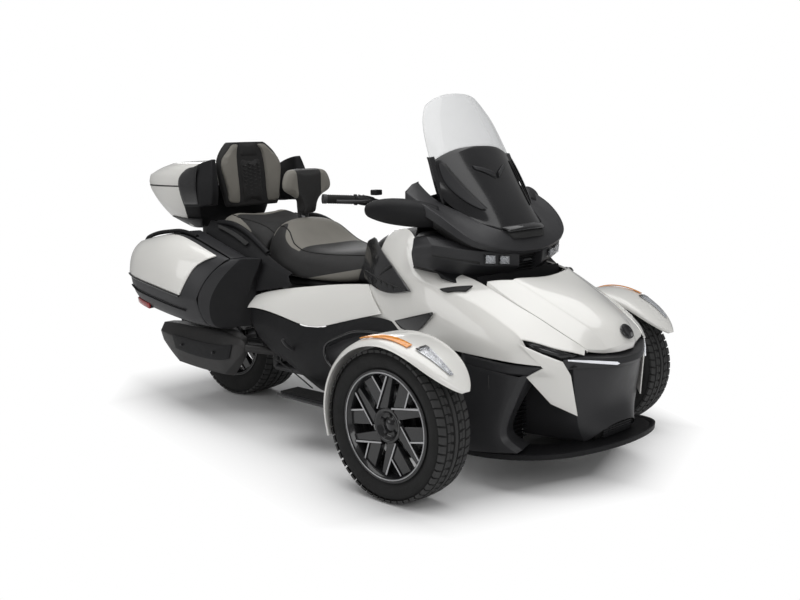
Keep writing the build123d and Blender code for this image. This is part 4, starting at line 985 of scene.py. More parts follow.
# The beak's mouth is a sheet of painted deep shade
beak_bits = [
    skin("beak_skin", GREY, BEAK, twin=True, bevel=1.0, inside=(780, 0, 840), sharp_cols=(0, 1, 3, 4),
         sharp_rows=(0, 1, 6), sharp=0.8, caps=(True, False)),
    skin("beak_top", BLACK, [[(x, y, z), (x - 60, y * 0.72, z + 12)] for (x, y, z), *_ in BEAK[:7]],
         twin=True, levels=1, wall=3, inside=(800, 0, 700)),
    skin("beak_mouth", DEEP_SHADE, [[(905, -82, 846), (905, 0, 850), (905, 82, 846)],
                                [(896, -80, 820), (896, 0, 822), (896, 80, 820)],
                                [(880, -72, 745), (880, 0, 745), (880, 72, 745)]],
         levels=1, inside=(700, 0, 800)),
    skin("beak_under", BLACK, [[(x, y, z), (x - 70, y * 0.8, z - 26)] for *_, (x, y, z) in BEAK[:7]],
         twin=True, levels=1, wall=3, inside=(750, 0, 1000)),
    skin("beak_cowl", BLACK, across([
        [(880, 0, 756), (880, -70, 756), (862, -150, 760), (838, -226, 766), (800, -300, 775),
         (745, -352, 790)],
        [(902, 0, 700), (902, -80, 700), (896, -160, 700), (885, -228, 698), (850, -300, 740),
         (770, -350, 784)],
        [(1034, 0, 692), (1022, -85, 692), (1000, -160, 690), (972, -222, 688), (868, -312, 735),
         (790, -352, 760)]]), inside=(900, 0, 300)),
    prism("vane", [(-30, 800), (30, 800), (22, 809), (-22, 809)], 900, 930, GREY, axis="X", bevel=1.5),
    repeat("mouth_ribs", rib, 5, (0, 0, 766), shift=(2, 0, 12)),
]


def between(start, end, part):
    """A point part of the way from one to another."""
    return tuple(a + (b - a) * part for a, b in zip(start, end))


# The slots in the beak's front band are painted deep shade
slot_rows = [[between(row[2], row[3], 0.5), between(row[2], row[3], 0.78)] for row in BEAK[1:4]]
beak_bits.append(skin("beak_slot", DEEP_SHADE, moved(slot_rows, x=1.5), twin=True, wall=1.5))
dress(joined("beak_all", beak_bits), "chassis", ("lamp_beak",))


def beak_point(y, share, lift):
    """A point on the beak's front band at y, share of the way down, lifted forward."""
    for row, after in zip(BEAK, BEAK[1:]):
        if row[1][1] <= y <= after[1][1]:
            t = (y - row[1][1]) / (after[1][1] - row[1][1])
            spot = between(between(row[1], after[1], t), between(row[3], after[3], t), share)
            return (spot[0] + lift * 0.92, spot[1] - lift * 0.38, spot[2])


def lamp_grid(y0, y1, top, low, count, lift):
    """A square of points on the beak, count each way. lift(i, j) is how far each stands off it."""
    return [[beak_point(y0 + (y1 - y0) * i / count, top + (low - top) * j / count, lift(i, j))
             for j in range(count + 1)] for i in range(count + 1)]


LAMP_SPANS = ((-232, -186), (-170, -124))       # the two square lamps of a side, from and to in y
panes = []
bowls = []
for y0, y1 in LAMP_SPANS:
    bowls.append(skin("bezel", GLOSS, lamp_grid(y0, y1, 0.16, 0.86, 1, lambda i, j: 1), twin=True, levels=0,
                      wall=-3, bevel=0.8))
    facets = lamp_grid(y0 + 4, y1 - 4, 0.24, 0.78, 4, lambda i, j: 4.5 if (i + j) % 2 else 9.5)
    bowls.append(skin("bowl", BRIGHT, facets, twin=True, levels=0, wall=1, smooth=False))
    panes.append(skin("pane", LAMP_LENS, lamp_grid(y0 + 3, y1 - 3, 0.21, 0.81, 2, lambda i, j: 12.5),
                      twin=True, levels=0, wall=2, bevel=0.6))
dress(joined("lamp_bowls", bowls))
dress(joined("lamp_panes", panes), "chassis", ("headlamps",))


# ---------------------------------------------------------------- fairing ring
RING = [
    [(596, -262, 1112), (600, -300, 1104), (606, -345, 1078), (612, -352, 1040)],
    [(640, -260, 1072), (656, -306, 1060), (690, -356, 1040), (694, -360, 1000)],
    [(700, -246, 1028), (730, -300, 1012), (775, -352, 1000), (776, -352, 962)],
    [(772, -216, 1000), (805, -272, 972), (850, -330, 944), (850, -330, 912)],
    [(845, -186, 955), (872, -232, 926), (904, -288, 894), (896, -286, 872)],
    [(890, -150, 934), (910, -178, 904), (936, -208, 868), (926, -204, 852)],
    [(922, -106, 918), (938, -116, 886), (952, -122, 850), (940, -120, 836)],
    [(938, 0, 910), (952, 0, 874), (960, 0, 842), (948, 0, 828)],
]
ring_rows = there_and_back(RING)
shade_rows = [[(x - 22, y * 0.94, z + 4), (x - 40, y * 0.9, z - 26)] for *_, (x, y, z) in ring_rows]
ear = Cage().plates({"a": (596, -262, 1112), "b": (606, -345, 1078), "c": (630, -300, 1010),
                     "d": (560, -255, 1040)},
                    ["abc", "acd"]).with_twin()
# The strip under the ring's edge and the back of the vent are painted deep shade
fairing_bits = [
    skin("fairing_skin", GREY, ring_rows, bevel=1.0, inside=(700, 0, 900), sharp_cols=(1, 2), sharp=0.6),
    skin("fairing_shade", DEEP_SHADE, shade_rows, levels=1, wall=3, inside=(600, 0, 1000)),
    ear.make("ear", BLACK, levels=0, wall=4),
    skin("vent_hood", GLOSS, across([[(930, 0, 947), (926, -70, 945), (904, -128, 937)],
                                     [(957, 0, 935), (951, -66, 933), (927, -118, 926)],
                                     [(954, 0, 925), (949, -62, 923), (925, -114, 918)]]),
         wall=3, inside=(900, 0, 880)),
    skin("vent_back", DEEP_SHADE, across([[(947, 0, 924), (942, -66, 922), (915, -116, 917)],
                                      [(956, 0, 894), (951, -56, 893), (936, -96, 892)]]), levels=1,
         wall=-2),
]
dress(joined("fairing_all", fairing_bits), "chassis", ("fairing",))


# ---------------------------------------------------------------- windscreen
SCREEN = [
    [(938, 0, 912), (932, -60, 914), (914, -108, 922), (882, -150, 938), (842, -182, 957)],
    [(868, 0, 1010), (862, -68, 1012), (838, -128, 1016), (790, -188, 1022), (704, -242, 1028)],
    [(772, 0, 1128), (767, -72, 1128), (750, -140, 1127), (720, -200, 1123), (678, -252, 1116)],
    [(687, 0, 1243), (684, -72, 1242), (676, -138, 1233), (664, -196, 1213), (650, -245, 1186)],
    [(642, 0, 1332), (638, -66, 1331), (630, -130, 1323), (620, -184, 1306), (606, -231, 1282)],
    [(601, 0, 1405), (598, -60, 1404), (591, -117, 1399), (583, -164, 1386), (572, -207, 1362)],
    [(576, 0, 1452), (574, -50, 1450), (569, -95, 1443), (562, -135, 1429), (554, -168, 1404)],
]
screen_rows = across(SCREEN)
lower = skin("screen_lower", SMOKED, screen_rows[:4], levels=3, wall=5, bevel=0.8, inside=(500, 0, 1000))
dress(lower, "chassis", ("windscreen",))
dress(skin("screen_upper", CLEAR, screen_rows[3:], levels=3, inside=(300, 0, 1300)))


def on_screen(spots):
    """Points on the right half of the screen from (u, v, lift): u from its centre, v up the rows."""
    points = []
    for u, v, lift in spots:
        i, j = min(int(v), 5), min(int(u), 3)
        low = between(SCREEN[i][j], SCREEN[i][j + 1], u - j)
        high = between(SCREEN[i + 1][j], SCREEN[i + 1][j + 1], u - j)
        x, y, z = between(low, high, v - i)
        points.append((x + lift * 0.80, y - lift * 0.22, z + lift * 0.45))
    return points


# Raised blade and open slot on each side of the screen, the slot a sheet of painted deep shade, the brow
# and the side frames
slot_rows = [[(3.45, 2.75, 5), (3.05, 2.62, 5)], [(3.05, 1.9, 6), (2.75, 1.85, 6)],
             [(2.35, 0.95, 6), (2.2, 0.86, 6)]]
blade_rows = [[(3.52, 2.70, 5), (3.40, 2.72, 14)], [(3.66, 1.80, 5), (2.98, 1.90, 18)],
              [(3.05, 1.05, 5), (2.38, 1.0, 15)], [(2.55, 0.82, 5), (2.28, 0.84, 8)]]
brow_rows = [[(1.35, 2.36, 4), (1.30, 2.24, 4)], [(0.7, 2.22, 14), (0.66, 2.08, 5)],
             [(0.12, 2.05, 16), (0.1, 1.90, 5)]]
frame_line = (SCREEN[1][4], (690, -249, 1072), SCREEN[2][4], (664, -250, 1152), SCREEN[3][4],
              (640, -244, 1206))
trims = [
    skin("slot_trim", DEEP_SHADE, [on_screen(row) for row in slot_rows], twin=True, wall=-1),
    skin("blade_trim", GREY, [on_screen(row) for row in blade_rows], twin=True, wall=3, bevel=0.6),
    skin("brow_trim", GREY, [on_screen(row) for row in brow_rows], twin=True, wall=3),
    skin("side_frames", GLOSS, [[(x - 16, y + 4, z), (x + 7, y - 5, z), (x + 10, y + 20, z + 2)]
                                for x, y, z in frame_line], twin=True, bevel=0.6, sharp_cols=(1,)),
]
dress(joined("screen_trims", trims))


# ---------------------------------------------------------------- mirrors
forward = Vector((0.74, -0.66, 0.0)).normalized()
up = Vector((0, 0, 1))
shell_rows = []
for centre, high, low, deep in (((728, -290, 985), 42, 40, 26), ((690, -335, 992), 58, 50, 40),
                                ((640, -392, 1003), 60, 52, 44), ((590, -448, 1010), 54, 46, 38),
                                ((556, -486, 1014), 36, 30, 24), ((540, -502, 1014), 18, 16, 10)):
    section = ((0, high), (deep, high * 0.55), (deep * 1.08, -low * 0.3), (deep * 0.5, -low),
               (-deep * 0.6, -low * 0.85), (-deep * 0.85, high * 0.1), (-deep * 0.6, high * 0.8))
    shell_rows.append([tuple(Vector(centre) + forward * a + up * b) for a, b in section])
glass_rows = []
for t in (0.12, 0.4, 0.7, 0.92):
    centre = Vector((728, -290, 985)).lerp(Vector((545, -496, 1014)), t) - forward * 42 * (1 - abs(t - 0.5))
    tall = 34 if 0.2 < t < 0.8 else 24
    glass_rows.append([tuple(centre + up * tall), tuple(centre - up * tall * 0.7)])
mirrors = [
    skin("mirror_pods", BLACK, shell_rows, twin=True, levels=3, wall=0, loop=True, caps=(True, True),
         sharp_cols=(3, 4, 6), sharp_rows=(0,), sharp=0.5),
    skin("mirror_glass", BRIGHT, glass_rows, twin=True, wall=3, inside=(900, 0, 1000)),
    *both_sides([tube([(700, -270, 960), (730, -262, 940), (750, -255, 930)], 22, "mirror_arm", BLACK)]),
]
dress(joined("mirrors_all", mirrors), "chassis", ("mirrors",))


# ---------------------------------------------------------------- wheels
SPOKE_BODY = [(0.17, 0.95), (0.045, 0.965), (-0.105, 0.63), (-0.345, 0.91), (-0.60, 0.765), (-0.275, 0.37),
              (-0.16, 0.30), (0.0, 0.30), (0.035, 0.40)]
LONG_RIB = ((0.035, 0.965), (-0.235, 0.30))
SHORT_RIB = ((-0.355, 0.905), (-0.115, 0.625))
SPOKE_UNIT = 188.0                  # the outlines above are drawn for a spoke of length 1
SPOKES = 6
NUTS = 5
FRONT_PITCHES = 54                  # tread pitches round a tyre
REAR_PITCHES = 58
GROOVE_DEPTH = 8
CROWN_DROP = 7.0                    # how far the tread falls from its middle to its edge
TREAD_FACES = [(6, 9, 10, 7), (7, 10, 11, 8), (0, 6, 7, 1), (1, 7, 8, 2), (3, 4, 10, 9), (4, 5, 11, 10),
               (0, 3, 9, 6), (2, 8, 11, 5)]
# Blocks of one pitch: from and to across the half width, from and to along the pitch, skew, height
TREAD_BLOCKS = [(0.93, 0.61, 0.06, 0.84, 0.22, 7.0), (0.52, 0.37, 0.0, 0.86, 0.0, 7.6),
                (0.35, 0.19, 0.14, 0.80, 0.10, 7.6), (0.09, 0.0, 0.0, 1.0, 0.0, 8.0)]


def tyre(name, centre, radius, width, pitches):
    """A tyre: revolved carcass with ring grooves, and tread blocks repeated round it."""
    half = width / 2
    bead = half - 20
    groove = radius - GROOVE_DEPTH
    profile = [(-bead, BEAD_R), (-bead, 207), (-half + 8, 222), (-half + 1, (FLANGE_R + radius) / 2 - 6),
               (-half + 1, (FLANGE_R + radius) / 2 + 8), (-half + 6, radius - 24),
               (-half + 15, radius - 11)]
    crown = [(-0.60, 6), (-0.585, 0), (-0.54, 0), (-0.525, 5), (-0.18, 3), (-0.165, 0), (-0.115, 0),
             (-0.10, 3)]
    profile += [(half * u, groove + h) for u, h in crown]
    profile += [(-y, r) for y, r in reversed(profile)]
    carcass = revolved("carcass", profile, centre, RUBBER, segments=120)

    unit = Cage()
    for side in (-1, 1):
        for outer, inner, start, end, skew, height in TREAD_BLOCKS:
            base = len(unit.points)
            for r in (groove - 2, groove + height):
                for y, lean in ((side * outer * half, 0.0), (side * inner * half, skew)):
                    fallen = r - CROWN_DROP * (abs(y) / half) ** 3
                    for part in (start, (start + end) / 2, end):
                        angle = (part + lean) * 2 * math.pi / pitches
                        unit.points.append((fallen * math.sin(angle), y, fallen * math.cos(angle)))
            unit.faces += [tuple(base + v for v in face) for face in TREAD_FACES]
            unit.paint += [0] * len(TREAD_FACES)
    piece = unit.make("tread_unit", TREAD, levels=0, inside=(0, 0, 0), smooth=False)
    return joined(name, [carcass, repeat("tread", piece, pitches, centre, turn=(0, 360 / pitches, 0))])


def strip(line, start, end):
    """A thin straight strip along a line as a closed outline, start and end its half-widths."""
    (u0, v0), (u1, v1) = line
    length = math.hypot(u1 - u0, v1 - v0)
    nu, nv = -(v1 - v0) / length, (u1 - u0) / length
    return [(u0 + nu * start, v0 + nv * start), (u1 + nu * end, v1 + nv * end),
            (u1 - nu * end, v1 - nv * end), (u0 - nu * start, v0 - nv * start)]


def rim(centre, width, face, out, bright=CUT):
    """A cast rim: barrel, six branched spokes with bright-cut ribs, a recessed hub and its nuts.

    face is how far the spokes' face stands from the wheel's middle, on the side that out points to.
    """
    half = width / 2
    barrel = [(-half - 7, FLANGE_R), (-half - 7, 197), (-half, BEAD_R), (-half * 0.62, 176),
              (half * 0.62, 176), (half, BEAD_R), (half + 7, 197), (half + 7, FLANGE_R),
              (half + 3, FLANGE_R), (half + 1, 200), (half * 0.6, 185), (-half * 0.6, 185),
              (-half - 1, 200), (-half - 3, FLANGE_R)]
    lip = [(out * (half + 6.5), BEAD_R), (out * (half + 8), 192), (out * (half + 8), 195),
           (out * (half + 6.5), 196)]
    pieces = [revolved("barrel", barrel, centre, GLOSS), revolved("lip", lip, centre, bright)]
    for outline, low, high, finish, bevel in (
            (SPOKE_BODY, face - 30, face - 6, GLOSS, 2.0),
            (strip(LONG_RIB, 0.024, 0.018), face - 12, face - 0.6, GLOSS, 0.8),
            (strip(LONG_RIB, 0.019, 0.013), face - 3, face, bright, 0.5),
            (strip(SHORT_RIB, 0.022, 0.020), face - 12, face - 1.6, GLOSS, 0.8),
            (strip(SHORT_RIB, 0.017, 0.015), face - 3, face - 1, bright, 0.5)):
        points = [(u * SPOKE_UNIT, v * SPOKE_UNIT) for u, v in outline]
        unit = prism("unit", points, out * low, out * high, finish, bevel=bevel)
        pieces.append(repeat("spokes", unit, SPOKES, centre, turn=(0, 360 / SPOKES, 0)))
    hub = [(34, 20), (34, 64), (5, 64), (4, 60), (6, 50), (20, 47), (22, 24), (12, 20), (12, 0), (34, 0)]
    pieces.append(revolved("hub", [(out * (face - deep), r) for deep, r in hub], centre, GLOSS,
                           segments=72))
    nut = prism("nut", regular(6, 8, up=35), out * (face - 24), out * (face - 14), STEEL_BLACK, bevel=1.0)
    pieces.append(repeat("nuts", nut, NUTS, centre, turn=(0, 360 / NUTS, 0)))
    valve = [Vector(centre) + Vector(at) for at in ((150, out * (face - 40), -78),
                                                    (143, out * (face - 12), -74))]
    return pieces + [tube(valve, 4, "valve", BLACK, straight=True)]


def brake_disc(axle, y, radius, inner):
    """A drilled brake disc on its carrier."""
    centre = (axle[0], 0, axle[2])
    pieces = [revolved("disc", [(y - 3, inner), (y - 3, radius), (y + 3, radius), (y + 3, inner)], centre,
                       DISC_STEEL),
              revolved("carrier", [(y - 8, 18), (y - 8, inner + 4), (y + 4, inner + 4), (y + 4, 18)],
                       centre, STEEL_BLACK, segments=48)]
    # The holes are plugs of painted deep shade
    for ring_r, count, start in ((radius - 14, 30, 0.0), (radius - 32, 24, 5.0)):
        hole = prism("hole", regular(8, 4, up=ring_r), -3.4, 3.4, DEEP_SHADE)
        pieces.append(repeat("holes", hole, count, (axle[0], y, axle[2]), turn=(0, 360 / count, 0),
                             first_turn=(0, start, 0)))
    return pieces


for hand, side in ((-1, "right"), (1, "left")):
    axle = (FRONT_AXLE_X, hand * WHEEL_Y, FRONT_TYRE_R)
    rubber = tyre(f"front_tyre_skin_{side}", axle, FRONT_TYRE_R, FRONT_TYRE_W, FRONT_PITCHES)
    dress(rubber, f"wheel_{side}", (f"front_tyre_{side}",))
    cast = rim(axle, FRONT_RIM_W, FRONT_FACE, hand) + brake_disc(axle, hand * DISC_Y, DISC_R, DISC_INNER_R)
    dress(joined(f"front_rim_skin_{side}", cast), f"wheel_{side}", (f"front_rim_{side}",))

axle = (REAR_AXLE_X, 0, REAR_TYRE_R)
rubber = tyre("rear_tyre_skin", axle, REAR_TYRE_R, REAR_TYRE_W, REAR_PITCHES)
dress(rubber, "rear_wheel", ("rear_tyre",))
# The rear rim's bright-cut ribs and lip are painted gloss black as painted shade, where the rear wheel sits
# in shade
parts = rim(axle, REAR_RIM_W, REAR_FACE, -1, bright=GLOSS)
parts += [revolved("pulley", [(121, 20), (121, 105), (123, 110), (147, 110), (149, 105), (149, 20)], axle,
                   ALLOY),
          revolved("rear_hub", [(-112, 15), (-112, 34), (121, 34), (121, 15)], axle, ALLOY, segments=40)]
dress(joined("rear_rim_skin", parts), "rear_wheel", ("rear_rim",))


# ---------------------------------------------------------------- front fenders
# The fender round the wheel: angle ahead of its top, radius, share of the full width
FENDER_ARC = [(-106, 308, 0.90), (-88, 313, 0.96), (-66, 320, 1.0), (-44, 327, 1.0), (-22, 332, 1.0),
              (0, 334, 1.0), (18, 336, 1.0), (34, 342, 0.96), (46, 350, 0.84), (55, 359, 0.60),
              (61, 366, 0.34), (63.5, 369, 0.14)]
# The fender across: place from the inner edge (-1) to the outer (1), height
FENDER_PROFILE = [(-1.0, -32), (-1.0, -18), (-0.84, -5), (-0.42, 0), (0.05, 1), (0.50, -2), (0.84, -12),
                  (0.97, -24), (1.0, -34)]
FENDER_HALF_W = 110
STRIP_STEPS = 12
LAMP_STEPS = 8


def lookup(table, key):
    """The values of a table at a key between two of its rows."""
    for start, end in zip(table, table[1:]):
        if start[0] <= key <= end[0]:
            return between(start, end, (key - start[0]) / (end[0] - start[0]))[1:]


class Fender:
    """One front fender: its skin, its amber strip and its lamp, all carried by the knuckle."""

    def __init__(self, hand, side):
        self.hand = hand
        self.side = side
        self.core = (FRONT_AXLE_X, hand * WHEEL_Y, FRONT_TYRE_R)

    def spot(self, angle, across_at, lift=0.0, rise=None):
        """A point standing on the fender's skin."""
        radius, spread = lookup(FENDER_ARC, angle)
        if rise is None:
            rise, = lookup(FENDER_PROFILE, across_at)
        r = radius + lift + rise * (0.35 + 0.65 * spread)
        y = WHEEL_Y - 3 + across_at * FENDER_HALF_W * spread
        lean = math.radians(angle)
        return (FRONT_AXLE_X + r * math.sin(lean), self.hand * y, FRONT_TYRE_R + r * math.cos(lean))

    def fit(self, name, finish, rows, slot, nodes=(), **form):
        """A panel of the fender from rows of spots."""
        rows = [[self.spot(*at) for at in row] for row in rows]
        piece = skin(f"{name}_{self.side}", finish, rows, inside=self.core, **form)
        dress(piece, f"knuckle_{self.side}", nodes)

    def build(self):
        """Makes the fender's pieces."""
        rows = [[(angle, u, 0.0, rise) for u, rise in FENDER_PROFILE] for angle, _, _ in FENDER_ARC]
        self.fit("fender_skin", WHITE, rows, "white_paint", (f"fender_{self.side}",), levels=3, bevel=0.8,
                 sharp_cols=(6,), sharp=0.35)
        rows = []
        for i in range(STRIP_STEPS + 1):
            angle = -18 + 41 * i / STRIP_STEPS
            slim = math.sin(math.pi * min(i + 0.6, STRIP_STEPS / 2) / STRIP_STEPS)
            mid = 0.70 + 0.05 * math.cos(math.pi * i / STRIP_STEPS)
            rows.append([(angle, mid - 0.12 * slim, 1.4), (angle, mid, 2.8),
                         (angle, mid + 0.10 * slim, 0.8)])
        self.fit("amber_strip", AMBER_LENS, rows, "clear_lens", levels=1, bevel=0.6)
        glass, bowl = [], []
        for i in range(LAMP_STEPS + 1):
            angle = 29 + 23 * i / LAMP_STEPS
            mid = 0.36 - 0.02 * i / LAMP_STEPS
            wide = 0.26 - 0.13 * i / LAMP_STEPS
            glass.append([(angle, mid + wide * u, lift)
                          for u, lift in ((-1, 1.0), (-0.6, 5.5), (0, 7.5), (0.6, 5.5), (1, 1.0))])
            bowl.append([(angle, mid + wide * u, lift)
                         for u, lift in ((-0.95, 1.6), (-0.5, 1.5), (0, 3.4 if i % 2 else 1.6), (0.5, 1.5),
                                         (0.95, 1.6))])
        self.fit("fender_lamp", LAMP_LENS, glass, "clear_lens", wall=1.2, sharp_rows=(0, LAMP_STEPS))
        self.fit("fender_lamp_bowl", BRIGHT, bowl, "cast_alloy", levels=0, wall=1.0, smooth=False)
        rows = [[(angle, 0.36 + u * wide, lift) for u in (-1, -0.3, 0.4, 1)]
                for angle, wide, lift in ((27.0, 0.23, 2.2), (30.5, 0.22, 3.6))]
        self.fit("fender_lamp_edge", GLOSS, rows, "black_plastic", levels=1, wall=3)


Fender(-1, "right").build()
Fender(1, "left").build()


# ---------------------------------------------------------------- upholstery
CLOTH_STEPS = 20
CLOTH_STIFFNESS = 40
SEAT_FILL = 0.85
BACK_FILL = 0.8
CORD_LIFT = 0.0006                  # how far the piping stands off the seat, in metres


def swollen(piece, pressure=4.0, voxel=6.0, cap=9.0):
    """Fills a padded form by cloth pressure, no point moving more than cap millimetres."""
    flattened(piece)
    remesh = piece.modifiers.new("remesh", "REMESH")
    remesh.mode = "VOXEL"
    remesh.voxel_size = voxel * MM
    flattened(piece)
    before = [vertex.co.copy() for vertex in piece.data.vertices]
    cloth = piece.modifiers.new("fill", "CLOTH").settings
    cloth.use_pressure = True
    cloth.uniform_pressure_force = pressure
    cloth.effector_weights.gravity = 0.0
    cloth.tension_stiffness = CLOTH_STIFFNESS
    cloth.compression_stiffness = CLOTH_STIFFNESS
    scene = bpy.context.scene
    for step in range(1, CLOTH_STEPS + 1):
        scene.frame_set(step)
    flattened(piece)
    scene.frame_set(1)
    for vertex, start in zip(piece.data.vertices, before):
        move = vertex.co - start
        if move.length > cap * MM:
            vertex.co = start + move.normalized() * cap * MM
    soften = piece.modifiers.new("relax", "SMOOTH")
    soften.factor = 0.6
    soften.iterations = 4
    subdivide = piece.modifiers.new("smooth", "SUBSURF")
    subdivide.levels = 1
    subdivide.render_levels = 1
    flattened(piece)
    for face in piece.data.polygons:
        face.use_smooth = True
    return piece


def seat_regions(finish):
    """The taupe bolster face and the low side strips of the rider's seat."""
    x, y, z = finish.axis("X"), finish.axis("Y"), finish.axis("Z")
    round_y, round_z = y * 4.75, (z - 0.772) * 6.4
    arch = (round_y * round_y + round_z * round_z).below(1.0) * (z + x * 0.30).above(0.727) * x.below(-0.19)
    low = (z - x * 0.198).below(0.694) * x.above(-0.10) * y.size().above(0.14)
    return arch.at_least(low)


def passenger_regions(finish):
    """The taupe surround of the passenger's seat."""
    x, y, z = finish.axis("X"), finish.axis("Y"), finish.axis("Z")
    edge = (y.size() - x * 0.30).above(0.366) * z.above(0.806) * x.below(-0.52)
    return edge.at_least((x + y.size() * 0.15).below(-0.668) * z.above(0.86))


def rider_back_regions(finish):
    """The taupe wings of the rider's backrest."""
    return (finish.axis("Y").size() - finish.axis("Z") * 0.05).above(0.018)


SEAT_ROWS = [
    (180, [(0, 806), (70, 802), (118, 782), (158, 735), (183, 700), (178, 672), (0, 672)]),
    (120, [(0, 804), (80, 802), (142, 785), (195, 737), (222, 690), (212, 662), (0, 662)]),
    (20, [(0, 790), (95, 791), (170, 784), (225, 740), (241, 684), (228, 660), (0, 660)]),
    (-90, [(0, 783), (105, 786), (186, 785), (240, 742), (250, 684), (236, 660), (0, 660)]),
    (-180, [(0, 790), (110, 794), (196, 794), (247, 750), (254, 692), (240, 660), (0, 660)]),
    (-242, [(0, 834), (105, 832), (190, 818), (243, 768), (252, 702), (238, 660), (0, 660)]),
    (-295, [(0, 898), (95, 892), (168, 868), (222, 804), (245, 716), (232, 660), (0, 660)]),
    (-345, [(0, 920), (90, 914), (157, 893), (210, 832), (237, 732), (225, 660), (0, 660)]),
    (-398, [(0, 915), (85, 908), (148, 886), (198, 832), (224, 752), (214, 660), (0, 660)]),
]
PASSENGER_ROWS = [
    (-418, [(0, 866), (80, 862), (148, 846), (200, 812), (226, 780), (222, 764), (0, 764)]),
    (-470, [(0, 886), (85, 886), (158, 880), (214, 850), (236, 800), (230, 762), (0, 762)]),
    (-560, [(0, 892), (90, 896), (165, 898), (222, 876), (238, 820), (232, 762), (0, 762)]),
    (-660, [(0, 902), (92, 908), (168, 914), (222, 894), (236, 830), (232, 762), (0, 762)]),
    (-742, [(0, 926), (90, 931), (163, 933), (215, 912), (230, 850), (226, 762), (0, 762)]),
]


def pad(name, rows, material, fill, levels=3, sharp=0.3, **cloth):
    """A padded form from closed rings, filled by cloth pressure."""
    piece = skin(name, material, rows, levels=levels, wall=0, loop=True, caps=(True, True),
                 sharp_rows=(0, -1), sharp=sharp)
    swollen(piece, **cloth)
    return piece


def piping(seat, rows, column=2, radius=2.6):
    """A sewn cord along one line of a seat's cross-sections, laid on its skin, on both sides."""
    line = [Vector((x, -half[column][0], half[column][1])) * MM for x, half in rows]
    path = []
    for start, end in zip(line, line[1:]):
        for part in (0.0, 0.25, 0.5, 0.75):
            _, place, out, _ = seat.closest_point_on_mesh(start.lerp(end, part))
            path.append((place + out * CORD_LIFT) / MM)
    return both_sides([tube(path, radius, "piping", HIDE)])


rider_seat = pad("rider_seat_pad", [ring(x, half) for x, half in SEAT_ROWS],
                 two_tone("seat_hide", seat_regions), SEAT_FILL, sharp=0.45)
dress(rider_seat, "chassis", ("rider_seat",))
passenger_seat = pad("passenger_seat_pad", [ring(x, half) for x, half in PASSENGER_ROWS],
                     two_tone("passenger_hide", passenger_regions), SEAT_FILL, sharp=0.45, cap=7.0)
dress(passenger_seat, "chassis", ("passenger_seat",))
seams = piping(rider_seat, SEAT_ROWS) + piping(passenger_seat, PASSENGER_ROWS)
dress(joined("seat_piping", seams))


def slab(levels, thick, curl):
    """Closed rings of an upright pad. levels: (z, centre x, half-width); curl brings its edges forward."""
    rows = []
    for z, x, half in levels:
        front, back = x + thick * 0.5, x - thick * 0.5
        right = [(front, 0, z), (front + curl * 0.2, -half * 0.5, z), (front + curl, -half * 0.9, z),
                 (x + curl * 0.8, -half, z), (x - thick * 0.4 + curl * 0.5, -half * 0.85, z),
                 (back, -half * 0.45, z), (back, 0, z)]
        rows.append(right + [(a, -b, c) for a, b, c in reversed(right[1:-1])])
    return rows


BACK_LEVELS = [(928, -376, 48), (975, -374, 54), (1008, -372, 74), (1036, -371, 136), (1060, -371, 158),
               (1100, -373, 149), (1130, -376, 130), (1143, -378, 104)]
back = pad("rider_backrest_pad", slab(BACK_LEVELS, 46, 14), two_tone("backrest_hide", rider_back_regions),
           BACK_FILL, voxel=5.0, cap=6.0)
dress(back, "chassis", ("rider_backrest",))
posts = [tube([(-390, y, 905), (-396, y, 960), (-398, y, 1010)], 9, "post", STEEL_BLACK) for y in (-22, 22)]
dress(joined("backrest_posts", posts))

# Passenger backrest: a dark shell, two taupe bolsters, a dark embossed middle and a bare band on top
SHELL_LEVELS = [(958, -792, 164), (1000, -794, 175), (1080, -800, 194), (1156, -808, 205),
                (1205, -816, 186), (1245, -824, 146), (1268, -832, 114)]
SHELL_THICK = 60
SHELL_CURL = 16
shell = skin("backrest_shell", HIDE, slab(SHELL_LEVELS, SHELL_THICK, SHELL_CURL), wall=0, loop=True,
             caps=(True, True), sharp_rows=(0, -1), sharp=0.4)
dress(shell, "chassis", ("passenger_backrest",))


def pad_on_back(name, rows, lift, material):
    """A padded panel on the front of the passenger backrest from rows of (y, z)."""
    loops = []
    for row in rows:
        front = []
        for y, z in row:
            x, half = lookup(SHELL_LEVELS, z)
            curl = SHELL_CURL * min(abs(y) / half, 1.0) ** 1.6
            front.append((x + SHELL_THICK / 2 + curl + lift, y, z))
        loops.append(front + [(x - 22, y, z) for x, y, z in reversed(front)])
    return dress(pad(name, loops, material, BACK_FILL, levels=2, voxel=5.0, cap=6.0))


bolster_rows = [[(-158, 978), (-122, 972), (-84, 970)], [(-168, 1030), (-122, 1030), (-76, 1030)],
                [(-184, 1100), (-126, 1100), (-74, 1100)], [(-195, 1156), (-130, 1160), (-74, 1165)],
                [(-176, 1200), (-120, 1210), (-70, 1216)], [(-131, 1238), (-98, 1246), (-62, 1250)],
                [(-107, 1260), (-84, 1264), (-57, 1265)]]
bolster = pad_on_back("bolster_right", bolster_rows, 7, TAUPE)
left_bolster = mirrored_copy(bolster, "bolster_left")
dress(left_bolster)
middle_rows = [[(y, z) for y in (-67, -36, 0, 36, 67)] for z in (972, 990, 1040, 1100, 1160, 1188)]
pad_on_back("backrest_middle", middle_rows, 3, HIDE)
band_rows = [[(y * (1 - (z - 1200) * 0.0022), z) for y in (-64, -34, 0, 34, 64)]
             for z in (1198, 1225, 1250, 1264)]
pad_on_back("backrest_band", band_rows, 4, HIDE)

EMBOSS_COLUMNS = 4
EMBOSS_TILES = 9
emboss = []
for column in range(EMBOSS_COLUMNS):
    tile = prism("tile", [(-9, -3), (0, -7), (9, -3), (9, 1), (0, -3), (-9, 1)], -762.0, -755.5, PANEL_HIDE,
                 axis="X", bevel=1.0)
    first = (0, -42 + column * 28, 1012 + column % 2 * 9)
    emboss.append(repeat("tiles", tile, EMBOSS_TILES, first, shift=(-1.0, 0, 18)))
dress(joined("backrest_emboss", emboss))


